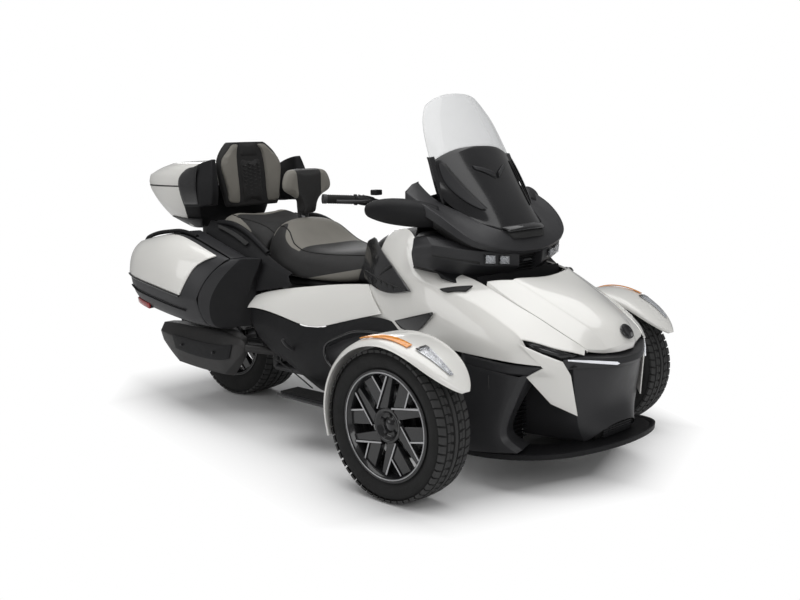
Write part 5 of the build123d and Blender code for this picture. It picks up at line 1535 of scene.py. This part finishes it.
# ---------------------------------------------------------------- top case
def case_loop(z, front, side_y, rear):
    """A closed plan outline of the top case at a height."""
    half = [(front, 0), (front, side_y * 0.62), (front - 14, side_y * 0.93), (front - 120, side_y),
            (rear + 200, side_y * 1.02), (rear + 84, side_y * 0.90), (rear + 22, side_y * 0.50), (rear, 0)]
    return [(x, -y, z) for x, y in half] + [(x, y, z) for x, y in reversed(half[1:-1])]


CASE_CORNERS = (2, 5, 10, 13)
CASE_FRONT = (0, 1, 2, 11, 12, 13)
CASE_HINGE_Y = 110
CASE_PIN_X = -862
CASE_PIN_Z = 1160
base_rows = [case_loop(1056, -872, 252, -1404), case_loop(1040, -872, 253, -1400),
             case_loop(960, -884, 244, -1330), case_loop(905, -900, 226, -1262),
             case_loop(862, -935, 196, -1165), case_loop(853, -950, 180, -1150)]
lid_rows = [case_loop(1060, -872, 252, -1404), case_loop(1074, -872, 254, -1412),
            case_loop(1110, -872, 250, -1400), case_loop(1146, -874, 238, -1318),
            case_loop(1168, -878, 214, -1236), case_loop(1177, -890, 186, -1180)]
case_base = skin("topcase_base_skin", (WHITE, BLACK), base_rows, bevel=1.0, inside=(-1130, 0, 980),
                 loop=True, caps=(False, True), sharp_cols=CASE_CORNERS, sharp_rows=(0, 3), sharp=0.6,
                 paint=lambda row, column: column in CASE_FRONT)
dress(case_base, "chassis", ("topcase_base",))
case_lid = skin("topcase_lid_skin", WHITE, lid_rows, bevel=1.0, inside=(-1130, 0, 1080), loop=True,
                caps=(False, True), sharp_cols=CASE_CORNERS, sharp_rows=(0, 2, 4), sharp=0.6)
dress(case_lid, "topcase_lid", ("topcase_lid",))
lining_rows = [[(x * 0.985 - 16, y * 0.965, z - 2) for x, y, z in base_rows[0]]]
lining_rows += [[(x * 0.97 - 32, y * 0.95, z + 8) for x, y, z in row] for row in base_rows[2:5]]
dress(skin("topcase_lining", PANEL_HIDE, lining_rows, levels=1, wall=-1.5, inside=(-1130, 0, 3000),
           loop=True, caps=(False, True)))

CASE_SKIRT = [
    [(-905, -212, 897), (-1000, -231, 897), (-1070, -233, 899), (-1160, -212, 902)],
    [(-925, -201, 874), (-990, -211, 872), (-1040, -206, 872), (-1106, -188, 874)],
    [(-945, -178, 851), (-975, -188, 850), (-1010, -184, 850), (-1060, -168, 852)],
]
case_bits = [
    skin("skirt", GREY, CASE_SKIRT, twin=True, wall=-4, bevel=0.8),
    prism("latch", [(-1396, -42), (-1414, -36), (-1424, 0), (-1414, 36), (-1396, 42)], 1034, 1060, BLACK,
          axis="Z", bevel=2),
    skin("case_seal", RUBBER, [case_loop(z, -871, 253.5, -1405.5) for z in (1055, 1061)], wall=3,
         inside=(-1130, 0, 1058), loop=True, sharp_cols=CASE_CORNERS, sharp=0.6),
]
lid_bits = []
for y in (-CASE_HINGE_Y, CASE_HINGE_Y):
    case_bits.append(prism("hinge", [(-856, 1020), (-866, 1020), (-870, 1160), (-854, 1160)], y - 8, y + 8,
                           STEEL_BLACK, bevel=1))
    pin = [(CASE_PIN_X, y - 18, CASE_PIN_Z), (CASE_PIN_X, y + 18, CASE_PIN_Z)]
    case_bits.append(tube(pin, 6, "pin", STEEL_BLACK, straight=True))
    for at in (y - 13, y + 13):
        eye = [(CASE_PIN_X, at - 4, CASE_PIN_Z), (CASE_PIN_X, at + 4, CASE_PIN_Z)]
        lid_bits.append(tube(eye, 9, "eye", STEEL_BLACK, straight=True))
dress(joined("topcase_fittings", case_bits))
lid_bits.append(prism("catch", [(-1398, -30), (-1420, -25), (-1424, 0), (-1420, 25), (-1398, 30)], 1064,
                      1086, BLACK, axis="Z", bevel=2))
dress(joined("topcase_lid_fittings", lid_bits), "topcase_lid")


# ---------------------------------------------------------------- speaker pods
POD_LOOPS = [
    [(-716, -232, 978), (-716, -288, 978), (-790, -306, 966), (-920, -300, 962), (-920, -262, 962),
     (-800, -240, 966)],
    [(-690, -238, 1040), (-686, -300, 1040), (-775, -322, 1034), (-950, -310, 1040), (-952, -266, 1040),
     (-800, -244, 1040)],
    [(-700, -238, 1120), (-698, -296, 1120), (-778, -318, 1116), (-956, -308, 1116), (-956, -266, 1116),
     (-800, -246, 1120)],
    [(-720, -236, 1192), (-718, -274, 1192), (-780, -290, 1176), (-900, -282, 1142), (-900, -262, 1142),
     (-800, -244, 1176)],
]
POD_COVER = [
    [(-782, -316, 1160), (-842, -312, 1156), (-898, -296, 1146)],
    [(-786, -326, 1100), (-868, -322, 1100), (-950, -314, 1106)],
    [(-786, -327, 1040), (-868, -322, 1040), (-944, -315, 1046)],
    [(-792, -312, 980), (-860, -308, 978), (-912, -305, 976)],
]
pods = [
    skin("pod_skins", BLACK, POD_LOOPS, twin=True, levels=3, wall=0, loop=True, caps=(True, True),
         sharp_cols=(1, 2, 3), sharp_rows=(0, 3), sharp=0.65),
    skin("pod_covers", GLOSS, POD_COVER, twin=True, bevel=1.0),
]
dress(joined("speaker_pods_all", pods), "chassis", ("speaker_pods",))


# ---------------------------------------------------------------- panniers
SIDE_LINE = [(-440, 752), (-600, 803), (-780, 856), (-950, 832), (-1106, 800), (-1141, 700), (-1130, 606),
             (-1040, 502), (-780, 468), (-522, 436), (-480, 590)]
PANNIER_MIDDLE = (-800, 650)
LID_SKIN = [
    [(-1112, -404, 796), (-1106, -408, 800), (-1050, -408, 813), (-930, -408, 836), (-780, -408, 857),
     (-620, -408, 808), (-530, -408, 780), (-442, -405, 753)],
    [(-1120, -404, 785), (-1108, -428, 796), (-1050, -430, 810), (-930, -430, 833), (-781, -430, 853),
     (-624, -430, 805), (-536, -428, 776), (-450, -418, 748)],
    [(-1130, -404, 758), (-1112, -462, 772), (-1054, -470, 793), (-930, -474, 816), (-786, -476, 834),
     (-640, -474, 789), (-552, -468, 756), (-474, -452, 720)],
    [(-1138, -404, 725), (-1116, -484, 735), (-1058, -504, 750), (-930, -514, 768), (-792, -518, 784),
     (-664, -514, 745), (-584, -502, 712), (-506, -486, 674)],
    [(-1141, -404, 698), (-1119, -494, 692), (-1060, -519, 696), (-930, -536, 699), (-800, -543, 700),
     (-688, -541, 672), (-614, -526, 650), (-532, -508, 622)],
    [(-1139, -404, 660), (-1122, -497, 648), (-1060, -523, 638), (-930, -540, 624), (-802, -547, 608),
     (-694, -547, 592), (-632, -536, 578), (-550, -521, 572)],
    [(-1134, -404, 600), (-1119, -490, 585), (-1060, -512, 568), (-930, -528, 552), (-802, -534, 534),
     (-700, -531, 518), (-632, -521, 508), (-551, -505, 508)],
    [(-1122, -404, 540), (-1107, -470, 520), (-1044, -486, 492), (-920, -496, 474), (-800, -498, 458),
     (-696, -494, 445), (-626, -486, 437), (-548, -470, 438)],
    [(-1100, -404, 508), (-1094, -408, 505), (-1034, -408, 480), (-910, -408, 462), (-800, -408, 450),
     (-692, -408, 440), (-614, -408, 432), (-530, -405, 424)],
]
# The painted panel follows the middle of the lid up to its own slanting front edge
PANEL_FRONT = [(-500, -428, 764), (-526, -466, 752), (-580, -500, 716), (-612, -524, 652),
               (-650, -540, 582)]
panel_rows = [row[1:6] + [corner] for row, corner in zip(LID_SKIN[1:6], PANEL_FRONT)]


def pannier_loop(y, shrink):
    """A closed side outline of the pannier at a distance out, drawn in towards its middle."""
    cx, cz = PANNIER_MIDDLE
    return [(cx + (x - cx) * shrink, y, cz + (z - cz) * shrink) for x, z in SIDE_LINE]


box_rows = [pannier_loop(-304, 0.975), pannier_loop(-310, 0.998), pannier_loop(-398, 1.0)]
pannier_shell = skin("pannier_shell_skins", GREY, box_rows, twin=True, bevel=1.0, loop=True,
                     caps=(True, False), sharp_cols=(0, 2, 4, 5, 6, 7, 9), sharp=0.5)
dress(pannier_shell, "chassis", ("pannier_shells",))

lid_core = (-800, -300, 640)
red_rows = [[(-962, -506, 512), (-1026, -499, 519), (-1085, -488, 529)],
            [(-966, -503, 484), (-1028, -496, 492), (-1086, -483, 502)]]
right_lid = [
    skin("lid", GREY, LID_SKIN, wall=5, bevel=1.0, inside=lid_core, sharp_cols=(1, 7), sharp_rows=(0, 1, 5),
         sharp=0.55),
    skin("white", WHITE, moved(panel_rows, y=-5, z=3), wall=7, bevel=1.6, inside=lid_core,
         sharp_cols=(0, 5), sharp_rows=(0, 4), sharp=0.7),
    tube(moved(panel_rows[-1:], 1, -7, -2)[0], 4.5, "panel_lip", GLOSS),
    tube(moved([LID_SKIN[6][1:7]], 0, -3, 4)[0], 3.5, "low_line", BLACK),
    skin("reflector_base", BLACK, moved(red_rows, y=4), levels=1, wall=26, bevel=2, inside=lid_core),
    skin("reflector", RED_LENS, red_rows, levels=1, wall=10, bevel=2, inside=lid_core),
]
left_lid = [mirrored_copy(piece, piece.name) for piece in right_lid]
dress(joined("pannier_lid_skin_right", right_lid), "pannier_lid_right", ("pannier_lid_right",))
dress(joined("pannier_lid_skin_left", left_lid), "pannier_lid_left", ("pannier_lid_left",))

edge = tube([(-1138, -386, 700), (-1139, -386, 780), (-1122, -388, 812), (-1022, -390, 840),
             (-920, -390, 852), (-800, -390, 863), (-700, -390, 838)], 10, "pannier_rim", BLACK,
            roundness=4)
dress(joined("pannier_rims", both_sides([edge])))
dress(skin("pannier_lining", PANEL_HIDE, [pannier_loop(-314, 0.93), pannier_loop(-396, 0.955)], twin=True,
           levels=1, wall=-1.5, loop=True, caps=(True, False)))

NOSE = [
    [(-444, -400, 750), (-396, -378, 752), (-322, -318, 752), (-330, -304, 750)],
    [(-470, -450, 718), (-426, -412, 712), (-338, -330, 700), (-344, -304, 700)],
    [(-502, -483, 674), (-462, -442, 664), (-356, -340, 664), (-362, -304, 664)],
    [(-528, -506, 622), (-494, -462, 610), (-380, -346, 612), (-386, -304, 612)],
    [(-546, -519, 572), (-518, -472, 556), (-404, -352, 560), (-380, -300, 560)],
    [(-549, -504, 508), (-524, -470, 496), (-428, -358, 502), (-396, -300, 502)],
    [(-546, -468, 440), (-520, -452, 436), (-446, -362, 446), (-410, -300, 446)],
    [(-530, -406, 424), (-500, -398, 424), (-452, -362, 434), (-414, -300, 434)],
]
cap_rows = [NOSE[0], [(-446, -306, 750), (-420, -306, 751), (-370, -304, 750), (-338, -304, 750)]]
# Inboard of its outer column the nose is black: partly black plastic, partly painted shade on its darker
# face
noses = [skin("nose", (GREY, BLACK), NOSE, twin=True, wall=5, bevel=1.0, sharp_cols=(1, 2),
              sharp_rows=(0, 7), sharp=0.8, paint=lambda row, column: column > 0),
         skin("nose_cap", (GREY, BLACK), cap_rows, twin=True, wall=5, bevel=1.0)]
dress(joined("pannier_nose_skins", noses), "chassis", ("pannier_noses",))


# ---------------------------------------------------------------- console, tank top and knee pads
CONSOLE = [
    (150, [(0, 800), (70, 798), (112, 780), (150, 730), (178, 690), (170, 664), (0, 664)]),
    (200, [(0, 850), (75, 846), (125, 822), (170, 760), (205, 700), (200, 664), (0, 664)]),
    (262, [(0, 886), (80, 882), (138, 862), (190, 790), (228, 710), (222, 664), (0, 664)]),
    (345, [(0, 906), (85, 904), (148, 892), (205, 820), (240, 720), (236, 664), (0, 664)]),
    (440, [(0, 914), (90, 912), (152, 906), (215, 850), (248, 740), (240, 664), (0, 664)]),
    (545, [(0, 908), (110, 904), (190, 886), (262, 820), (280, 740), (270, 664), (0, 664)]),
    (640, [(0, 900), (130, 896), (230, 870), (300, 800), (300, 740), (290, 664), (0, 664)]),
]
DASH = [
    [(560, 0, 905), (560, -110, 900), (560, -200, 880), (565, -262, 850)],
    [(600, 0, 985), (602, -120, 985), (606, -220, 975), (612, -285, 950)],
    [(655, 0, 1070), (655, -110, 1070), (650, -200, 1066), (640, -255, 1055)],
]
console_bits = [
    skin("console_skin", BLACK, [ring(x, half) for x, half in CONSOLE], levels=3, wall=0, loop=True,
         caps=(True, True), sharp_rows=(0, -1), sharp=0.5),
    skin("dash_skin", BLACK, across(DASH), inside=(900, 0, 950)),
    skin("dial_glass", SMOKED, [[(596, -95, 985), (596, 95, 985)], [(634, -95, 1052), (634, 95, 1052)]],
         levels=0, wall=6, bevel=2, inside=(800, 0, 950)),
]
dress(joined("console_all", console_bits), "chassis", ("console",))

KNEE_PAD = [
    [(208, -156, 846), (214, -178, 800), (226, -205, 752), (268, -240, 704)],
    [(222, -153, 856), (272, -206, 818), (330, -264, 758), (385, -312, 686)],
    [(234, -151, 862), (338, -236, 822), (424, -300, 764), (512, -352, 668)],
    [(246, -153, 866), (419, -272, 812), (524, -319, 765), (650, -376, 700)],
]
KNEE_RIBS = 5
knee = skin("knee", GLOSS, moved(KNEE_PAD, 2, -9, 3), twin=True, levels=3, wall=14, bevel=1.5,
            sharp_rows=(3,), sharp=0.6)
# The groove, the notch and the ribs of the knee pads are painted deep shade
slots = [tube([(283, -256, 740), (390, -306, 728), (487, -341, 716), (640, -389, 703)], 3.2, "groove",
              DEEP_SHADE),
         tube([(492, -316, 780), (456, -314, 760), (428, -310, 738)], 6, "notch", DEEP_SHADE)]
for step in range(KNEE_RIBS):
    x, y, z = 352 + 44 * step, -292 - 13.5 * step, 722 - 2 * step
    slots.append(tube([(x, y - 10, z), (x + 26, y - 17, z - 24)], 1.8, "rib", DEEP_SHADE, straight=True))
dress(joined("knee_pads", [knee, *both_sides(slots)]))

INSERT = [
    [(560, -366, 574), (640, -384, 596), (720, -396, 618), (788, -401, 636)],
    [(570, -368, 566), (660, -388, 568), (730, -398, 590), (790, -402, 632)],
    [(600, -372, 548), (690, -392, 542), (730, -398, 566), (792, -403, 628)],
]
dress(skin("shoulder_insert", GLOSS, moved(INSERT, y=-6, z=1), twin=True, wall=8, bevel=1.0))
# The shoulder vent is painted deep shade
vent_rows = [[(797, -369, 723), (856, -343, 735), (914, -314, 739)],
             [(812, -373, 717), (862, -354, 731), (911, -330, 731)],
             [(838, -372, 713), (872, -361, 722), (906, -345, 721)]]
dress(skin("shoulder_vent", DEEP_SHADE, vent_rows, twin=True, wall=7, bevel=1.5))


# ---------------------------------------------------------------- side panels and covers
PANEL = [
    [(-440, -322, 536), (-408, -312, 572), (-330, -296, 600), (-180, -286, 628), (60, -284, 662),
     (200, -286, 680), (345, -296, 692)],
    [(-432, -336, 528), (-400, -334, 548), (-310, -330, 568), (-160, -326, 588), (60, -324, 606),
     (220, -326, 634), (390, -328, 650)],
    [(-424, -338, 521), (-380, -340, 530), (-280, -342, 528), (-140, -344, 508), (40, -348, 474),
     (240, -350, 534), (470, -356, 590)],
]
dress(skin("side_panel_skins", WHITE, PANEL, twin=True, levels=3, wall=5, bevel=1.2), "chassis",
      ("side_panels",))

# A tray of painted deep shade under the seats closes the space between the two side panels
TRAY_LINE = [(-432, 316, 540), (-330, 292, 586), (-180, 282, 604), (60, 280, 630), (200, 282, 648),
             (330, 290, 658)]
tray_rows = [[(x, -y, z), (x, -y * 0.5, z + 6), (x, y * 0.5, z + 6), (x, y, z)] for x, y, z in TRAY_LINE]
dress(skin("underseat_tray", DEEP_SHADE, tray_rows, levels=1, wall=3, inside=(0, 0, 0)))

COVER = [
    [(-430, -318, 516), (-300, -336, 524), (-140, -340, 502), (40, -344, 468), (230, -346, 528),
     (420, -352, 584), (560, -364, 566), (620, -368, 548)],
    [(-400, -322, 440), (-280, -346, 452), (-130, -362, 446), (40, -372, 430), (180, -378, 470),
     (380, -384, 540), (520, -386, 530), (630, -386, 510)],
    [(-330, -316, 360), (-250, -340, 370), (-120, -368, 366), (30, -384, 360), (160, -386, 380),
     (330, -388, 420), (500, -390, 430), (640, -388, 430)],
    [(-230, -300, 300), (-170, -330, 305), (-90, -362, 296), (40, -382, 270), (180, -388, 280),
     (330, -390, 300), (500, -388, 320), (630, -382, 330)],
    [(-60, -290, 262), (-20, -318, 252), (30, -340, 236), (80, -352, 218), (200, -358, 210),
     (340, -358, 205), (500, -350, 205), (620, -340, 215)],
]
cover_bits = [
    skin("cover", BLACK, COVER, twin=True, levels=3, wall=5, bevel=1.0, sharp_rows=(1,), sharp=0.3),
    skin("recess_face", GREY, [[(175, -391, 420), (400, -394, 514), (560, -393, 506)],
                               [(205, -391, 345), (400, -392, 400), (560, -391, 420)]],
         twin=True, levels=1, wall=2),
    *both_sides([
        tube([(560, -398, 520), (400, -402, 528), (270, -402, 480), (160, -398, 432), (196, -398, 338),
              (330, -396, 300)], 6, "recess_rim", GLOSS),
        # The cover seam is a line of painted deep shade
        tube([(-240, -342, 316), (-110, -368, 300), (60, -372, 225)], 3, "cover_seam", DEEP_SHADE),
        tube([(-60, -368, 380), (-66, -400, 392), (-70, -420, 430)], 8, "peg_lever", STEEL_BLACK),
    ]),
]
dress(joined("side_cover_all", cover_bits), "chassis", ("side_covers",))

SKIRT = [
    [(-760, -262, 905), (-690, -264, 898), (-600, -266, 886), (-500, -268, 862), (-420, -268, 820),
     (-345, -266, 768), (-250, -268, 722), (-168, -268, 694)],
    [(-750, -300, 868), (-680, -304, 858), (-600, -306, 842), (-500, -306, 806), (-420, -304, 768),
     (-345, -298, 728), (-250, -288, 694), (-180, -282, 680)],
    [(-740, -312, 850), (-670, -318, 836), (-600, -322, 806), (-510, -322, 752), (-430, -318, 700),
     (-345, -310, 664), (-250, -300, 650), (-160, -292, 655)],
    [(-730, -306, 760), (-660, -312, 740), (-600, -316, 700), (-520, -316, 640), (-440, -318, 590),
     (-345, -308, 604), (-250, -298, 622), (-150, -288, 640)],
]
grip_rows = [[(-668, -286, 884), (-600, -289, 872), (-520, -290, 852), (-440, -288, 812)],
             [(-656, -298, 872), (-596, -301, 858), (-520, -302, 834), (-452, -300, 800)]]
# The grip slot in the tail skirt is painted deep shade
tail_bits = [skin("tail_skirt", BLACK, SKIRT, twin=True, bevel=1.0, sharp_rows=(1,), sharp=0.5),
             skin("grip_slot", DEEP_SHADE, grip_rows, twin=True, wall=-8, bevel=1.5)]
dress(joined("tail_body", tail_bits))


# ---------------------------------------------------------------- grab handles and footboards
GRAB_LINE = [(-343, -262, 772), (-400, -268, 815), (-470, -270, 858), (-560, -268, 890), (-640, -266, 898),
             (-700, -262, 895)]
GRAB_FOOT = [(-343, -262, 772), (-352, -258, 740), (-380, -256, 712)]
GRAB_R = 13
handles = both_sides([tube(line, GRAB_R, "grab", BLACK) for line in (GRAB_LINE, GRAB_FOOT)])
dress(joined("grab_handle_bars", handles), "chassis", ("grab_handles",))

BOARD = [(-24, -386), (300, -386), (318, -402), (312, -470), (286, -498), (10, -500), (-26, -480)]
BOARD_RIBS = 10
board_rib = prism("board_rib", [(-10, -396), (290, -396), (290, -400), (-10, -400)], 222, 227, RUBBER,
                  axis="Z", bevel=1)
board = joined("right_boards", [
    prism("board", BOARD, 202, 222, BLACK, axis="Z", bevel=3),
    repeat("board_ribs", board_rib, BOARD_RIBS, shift=(0, -10, 0)),
    tube([(-20, -498, 212), (140, -502, 208), (290, -498, 206)], 6, "board_edge", STEEL_BLACK),
])
dress(joined("footboard_pieces", both_sides([board])), "chassis", ("footboards",))


# ---------------------------------------------------------------- exhaust
MUFFLER = [
    (-418, [(-326, 362), (-352, 362), (-368, 344), (-364, 318), (-342, 308), (-320, 326)]),
    (-470, [(-312, 384), (-360, 384), (-388, 346), (-380, 270), (-340, 244), (-304, 296)]),
    (-545, [(-300, 398), (-368, 398), (-403, 332), (-382, 200), (-330, 184), (-287, 290)]),
    (-720, [(-300, 400), (-370, 400), (-405, 334), (-384, 200), (-328, 196), (-285, 290)]),
    (-905, [(-300, 400), (-370, 400), (-405, 338), (-386, 214), (-328, 208), (-285, 294)]),
    (-985, [(-304, 397), (-368, 397), (-398, 346), (-380, 256), (-328, 246), (-292, 320)]),
    (-1052, [(-310, 391), (-364, 391), (-388, 352), (-374, 302), (-328, 294), (-302, 342)]),
]
muffler_rows = [[(x, y, z) for y, z in loop] for x, loop in MUFFLER]
tip_rows = [moved(muffler_rows[-1:], x=-1)[0],
            [(-1040, (y + 344) * 0.6 - 344, (z - 345) * 0.6 + 345) for _, y, z in muffler_rows[-1]]]
shield_rows = [[(-470, -392, 352), (-560, -410, 340), (-760, -412, 344), (-930, -408, 352)],
               [(-500, -392, 280), (-570, -400, 262), (-760, -403, 262), (-915, -400, 280)]]
SHIELD_STUDS = [(-600, 300), (-850, 306)]
exhaust_bits = [
    skin("muffler", EXHAUST, muffler_rows, bevel=1.2, loop=True, caps=(True, False),
         sharp_cols=(0, 1, 2, 3, 4), sharp_rows=(2, 4), sharp=0.55),
    skin("heat_shield", BLACK, shield_rows, bevel=1.2, inside=(-700, 0, 300)),
    # The outlet's mouth is painted deep shade
    tube([(-985, -342, 330), (-1058, -345, 345)], 24, "outlet", DEEP_SHADE, straight=True),
    skin("tip_ring", DISC_STEEL, tip_rows, wall=2, inside=(-900, -344, 345), loop=True),
    tube([(-430, -345, 336), (-340, -260, 318), (-260, -160, 300), (-100, -141, 300), (300, -141, 300)], 20,
         "pipe", EXHAUST),
    *[tube([(x, -400, z), (x, -414, z)], 6, "stud", STEEL_BLACK, straight=True) for x, z in SHIELD_STUDS],
]
dress(joined("exhaust_all", exhaust_bits), "chassis", ("exhaust",))


# ---------------------------------------------------------------- rear fender, tail lamps and plate holder
# Along the middle of the fender: x, z and half its width
REAR_LINE = [(-985, 706, 100), (-1060, 722, 126), (-1130, 712, 130), (-1182, 690, 130), (-1225, 560, 130),
             (-1262, 420, 128), (-1292, 345, 116), (-1300, 326, 100)]
PLATE_HOLES = (-72.5, 72.5)
rear_rows = across([[(x, 0, z + 1), (x, -y * 0.45, z), (x + 4, -y * 0.9, z - 3), (x + 18, -y, z - 26)]
                    for x, z, y in REAR_LINE])
rear_bits = [
    skin("rear_skin", BLACK, [row[::-1] for row in rear_rows], bevel=1.0, inside=(-1000, 0, 450),
         sharp_cols=(1, 5), sharp=0.5),
    prism("holder", [(-118, 388), (118, 388), (118, 472), (-118, 472)], -1310, -1300, BLACK, axis="X",
          bevel=3),
    prism("stalk", [(-1256, 452), (-1300, 462), (-1300, 400), (-1266, 404)], -46, 46, BLACK, bevel=2),
    prism("boss", [(-1045, 700), (-1045, 724), (-1015, 724), (-1015, 700)], -60, 60, BLACK, bevel=1),
    # The plate holes are painted deep shade
    *[tube([(-1310.6, y, 430), (-1304, y, 430)], 3.4, "plate_hole", DEEP_SHADE, straight=True)
      for y in PLATE_HOLES],
]
dress(joined("rear_fender_all", rear_bits), "chassis", ("rear_fender",))

TAIL_LENS = [(-1116, 788), (-1134, 745), (-1144, 700), (-1140, 655), (-1133, 612)]
lens_rows = [[(x - 14, y, z) for x, z in TAIL_LENS] for y in (-388, -372, -338, -322)]
lens_frames = [tube([(x - 12, y, z) for x, z in TAIL_LENS], 5, "lens_frame", GLOSS) for y in (-390, -320)]
lamps = [skin("tail_lens", RED_LENS, lens_rows, twin=True, wall=8, bevel=1.5, inside=(-800, 0, 700)),
         *both_sides(lens_frames)]
dress(joined("tail_lamp_lenses", lamps), "chassis", ("tail_lamps",))


# ---------------------------------------------------------------- handlebar controls
SWITCH = [
    [(334, -246, 1048), (342, -238, 1030), (334, -246, 1008), (312, -240, 1012), (306, -236, 1034)],
    [(324, -272, 1058), (334, -262, 1036), (324, -272, 1006), (300, -266, 1008), (292, -262, 1040)],
    [(308, -300, 1060), (320, -290, 1038), (308, -300, 1012), (284, -292, 1014), (276, -288, 1044)],
    [(302, -316, 1050), (308, -312, 1038), (302, -316, 1022), (288, -310, 1024), (284, -308, 1042)],
]
controls = [tube([(440, 0, 958), (440, -96, 958), (418, -130, 974), (346, -232, 1026), (318, -275, 1033)],
                 12.5, "bar", BLACK)]
for start, end, radius, finish in (((318, -275, 1033), (241, -428, 1044), 12.5, BLACK),
                                   ((296, -318, 1036), (243, -424, 1044), 18, RUBBER),
                                   ((300, -310, 1036), (296, -318, 1036), 23, BLACK),
                                   ((243, -424, 1044), (237, -437, 1045), 20, STEEL_BLACK)):
    controls.append(tube([start, end], radius, "grip", finish, straight=True))
GRIP_RIBS = 11
grip_rib = tube([(290, -330, 1037), (289, -332, 1037)], 19.2, "grip_rib", RUBBER, straight=True)
controls.append(repeat("grip_ribs", grip_rib, GRIP_RIBS, shift=(-4.2, -8.4, 0.6)))
controls.append(skin("switch", BLACK, SWITCH, wall=0, loop=True, caps=(True, True), sharp_rows=(0, 3),
                     sharp=0.5))
for x, y, z in ((300, -262, 1046), (292, -280, 1048), (284, -296, 1048)):
    controls.append(tube([(x, y, z), (x - 9, y - 3, z + 3)], 5, "button", GREY, straight=True))
controls.append(tube([(336, -258, 1030), (352, -292, 1030), (330, -352, 1032), (292, -412, 1036)], 6,
                     "lever", STEEL_BLACK))
controls.append(prism("reservoir", [(330, 1052), (366, 1052), (366, 1074), (330, 1074)], -262, -226, BLACK,
                      bevel=4))
stem = [tube([(575, 0, 660), (440, 0, 950)], 22, "stem", STEEL_BLACK, straight=True),
        prism("bar_clamp", [(418, 940), (462, 940), (462, 974), (418, 974)], -46, 46, BLACK, bevel=4)]
dress(joined("handlebar_all", both_sides(controls) + stem), "handlebar", ("handlebar",))


# ---------------------------------------------------------------- the frame's own pieces
NODE_FINISHES = [
    (STEEL_BLACK, "frame lower_arms upper_arms dampers swingarm pitman_arm tie_rod_right tie_rod_left"),
    (ENGINE_GREY, "engine"),
    (ALLOY, "knuckle_right knuckle_left"),
    (RUBBER, "drive_belt front_tyre_right front_tyre_left rear_tyre"),
    (GLOSS, "front_rim_right front_rim_left rear_rim"),
    (WHITE, "shoulder_panels hood side_panels topcase_base topcase_lid pannier_lid_right pannier_lid_left "
            "fender_right fender_left"),
    (GREY, "fascia lamp_beak fairing mirrors console pannier_shells pannier_noses"),
    (BLACK, "trunk_tub side_covers speaker_pods grab_handles footboards rear_fender handlebar"),
    (HIDE, "rider_seat passenger_seat rider_backrest passenger_backrest"),
    (SMOKED, "windscreen"),
    (LAMP_LENS, "headlamps"),
    (RED_LENS, "tail_lamps"),
    (EXHAUST, "exhaust"),
]
for finish, names in NODE_FINISHES:
    for node in names.split():
        NODES[node].data.materials.clear()
        NODES[node].data.materials.append(finish)
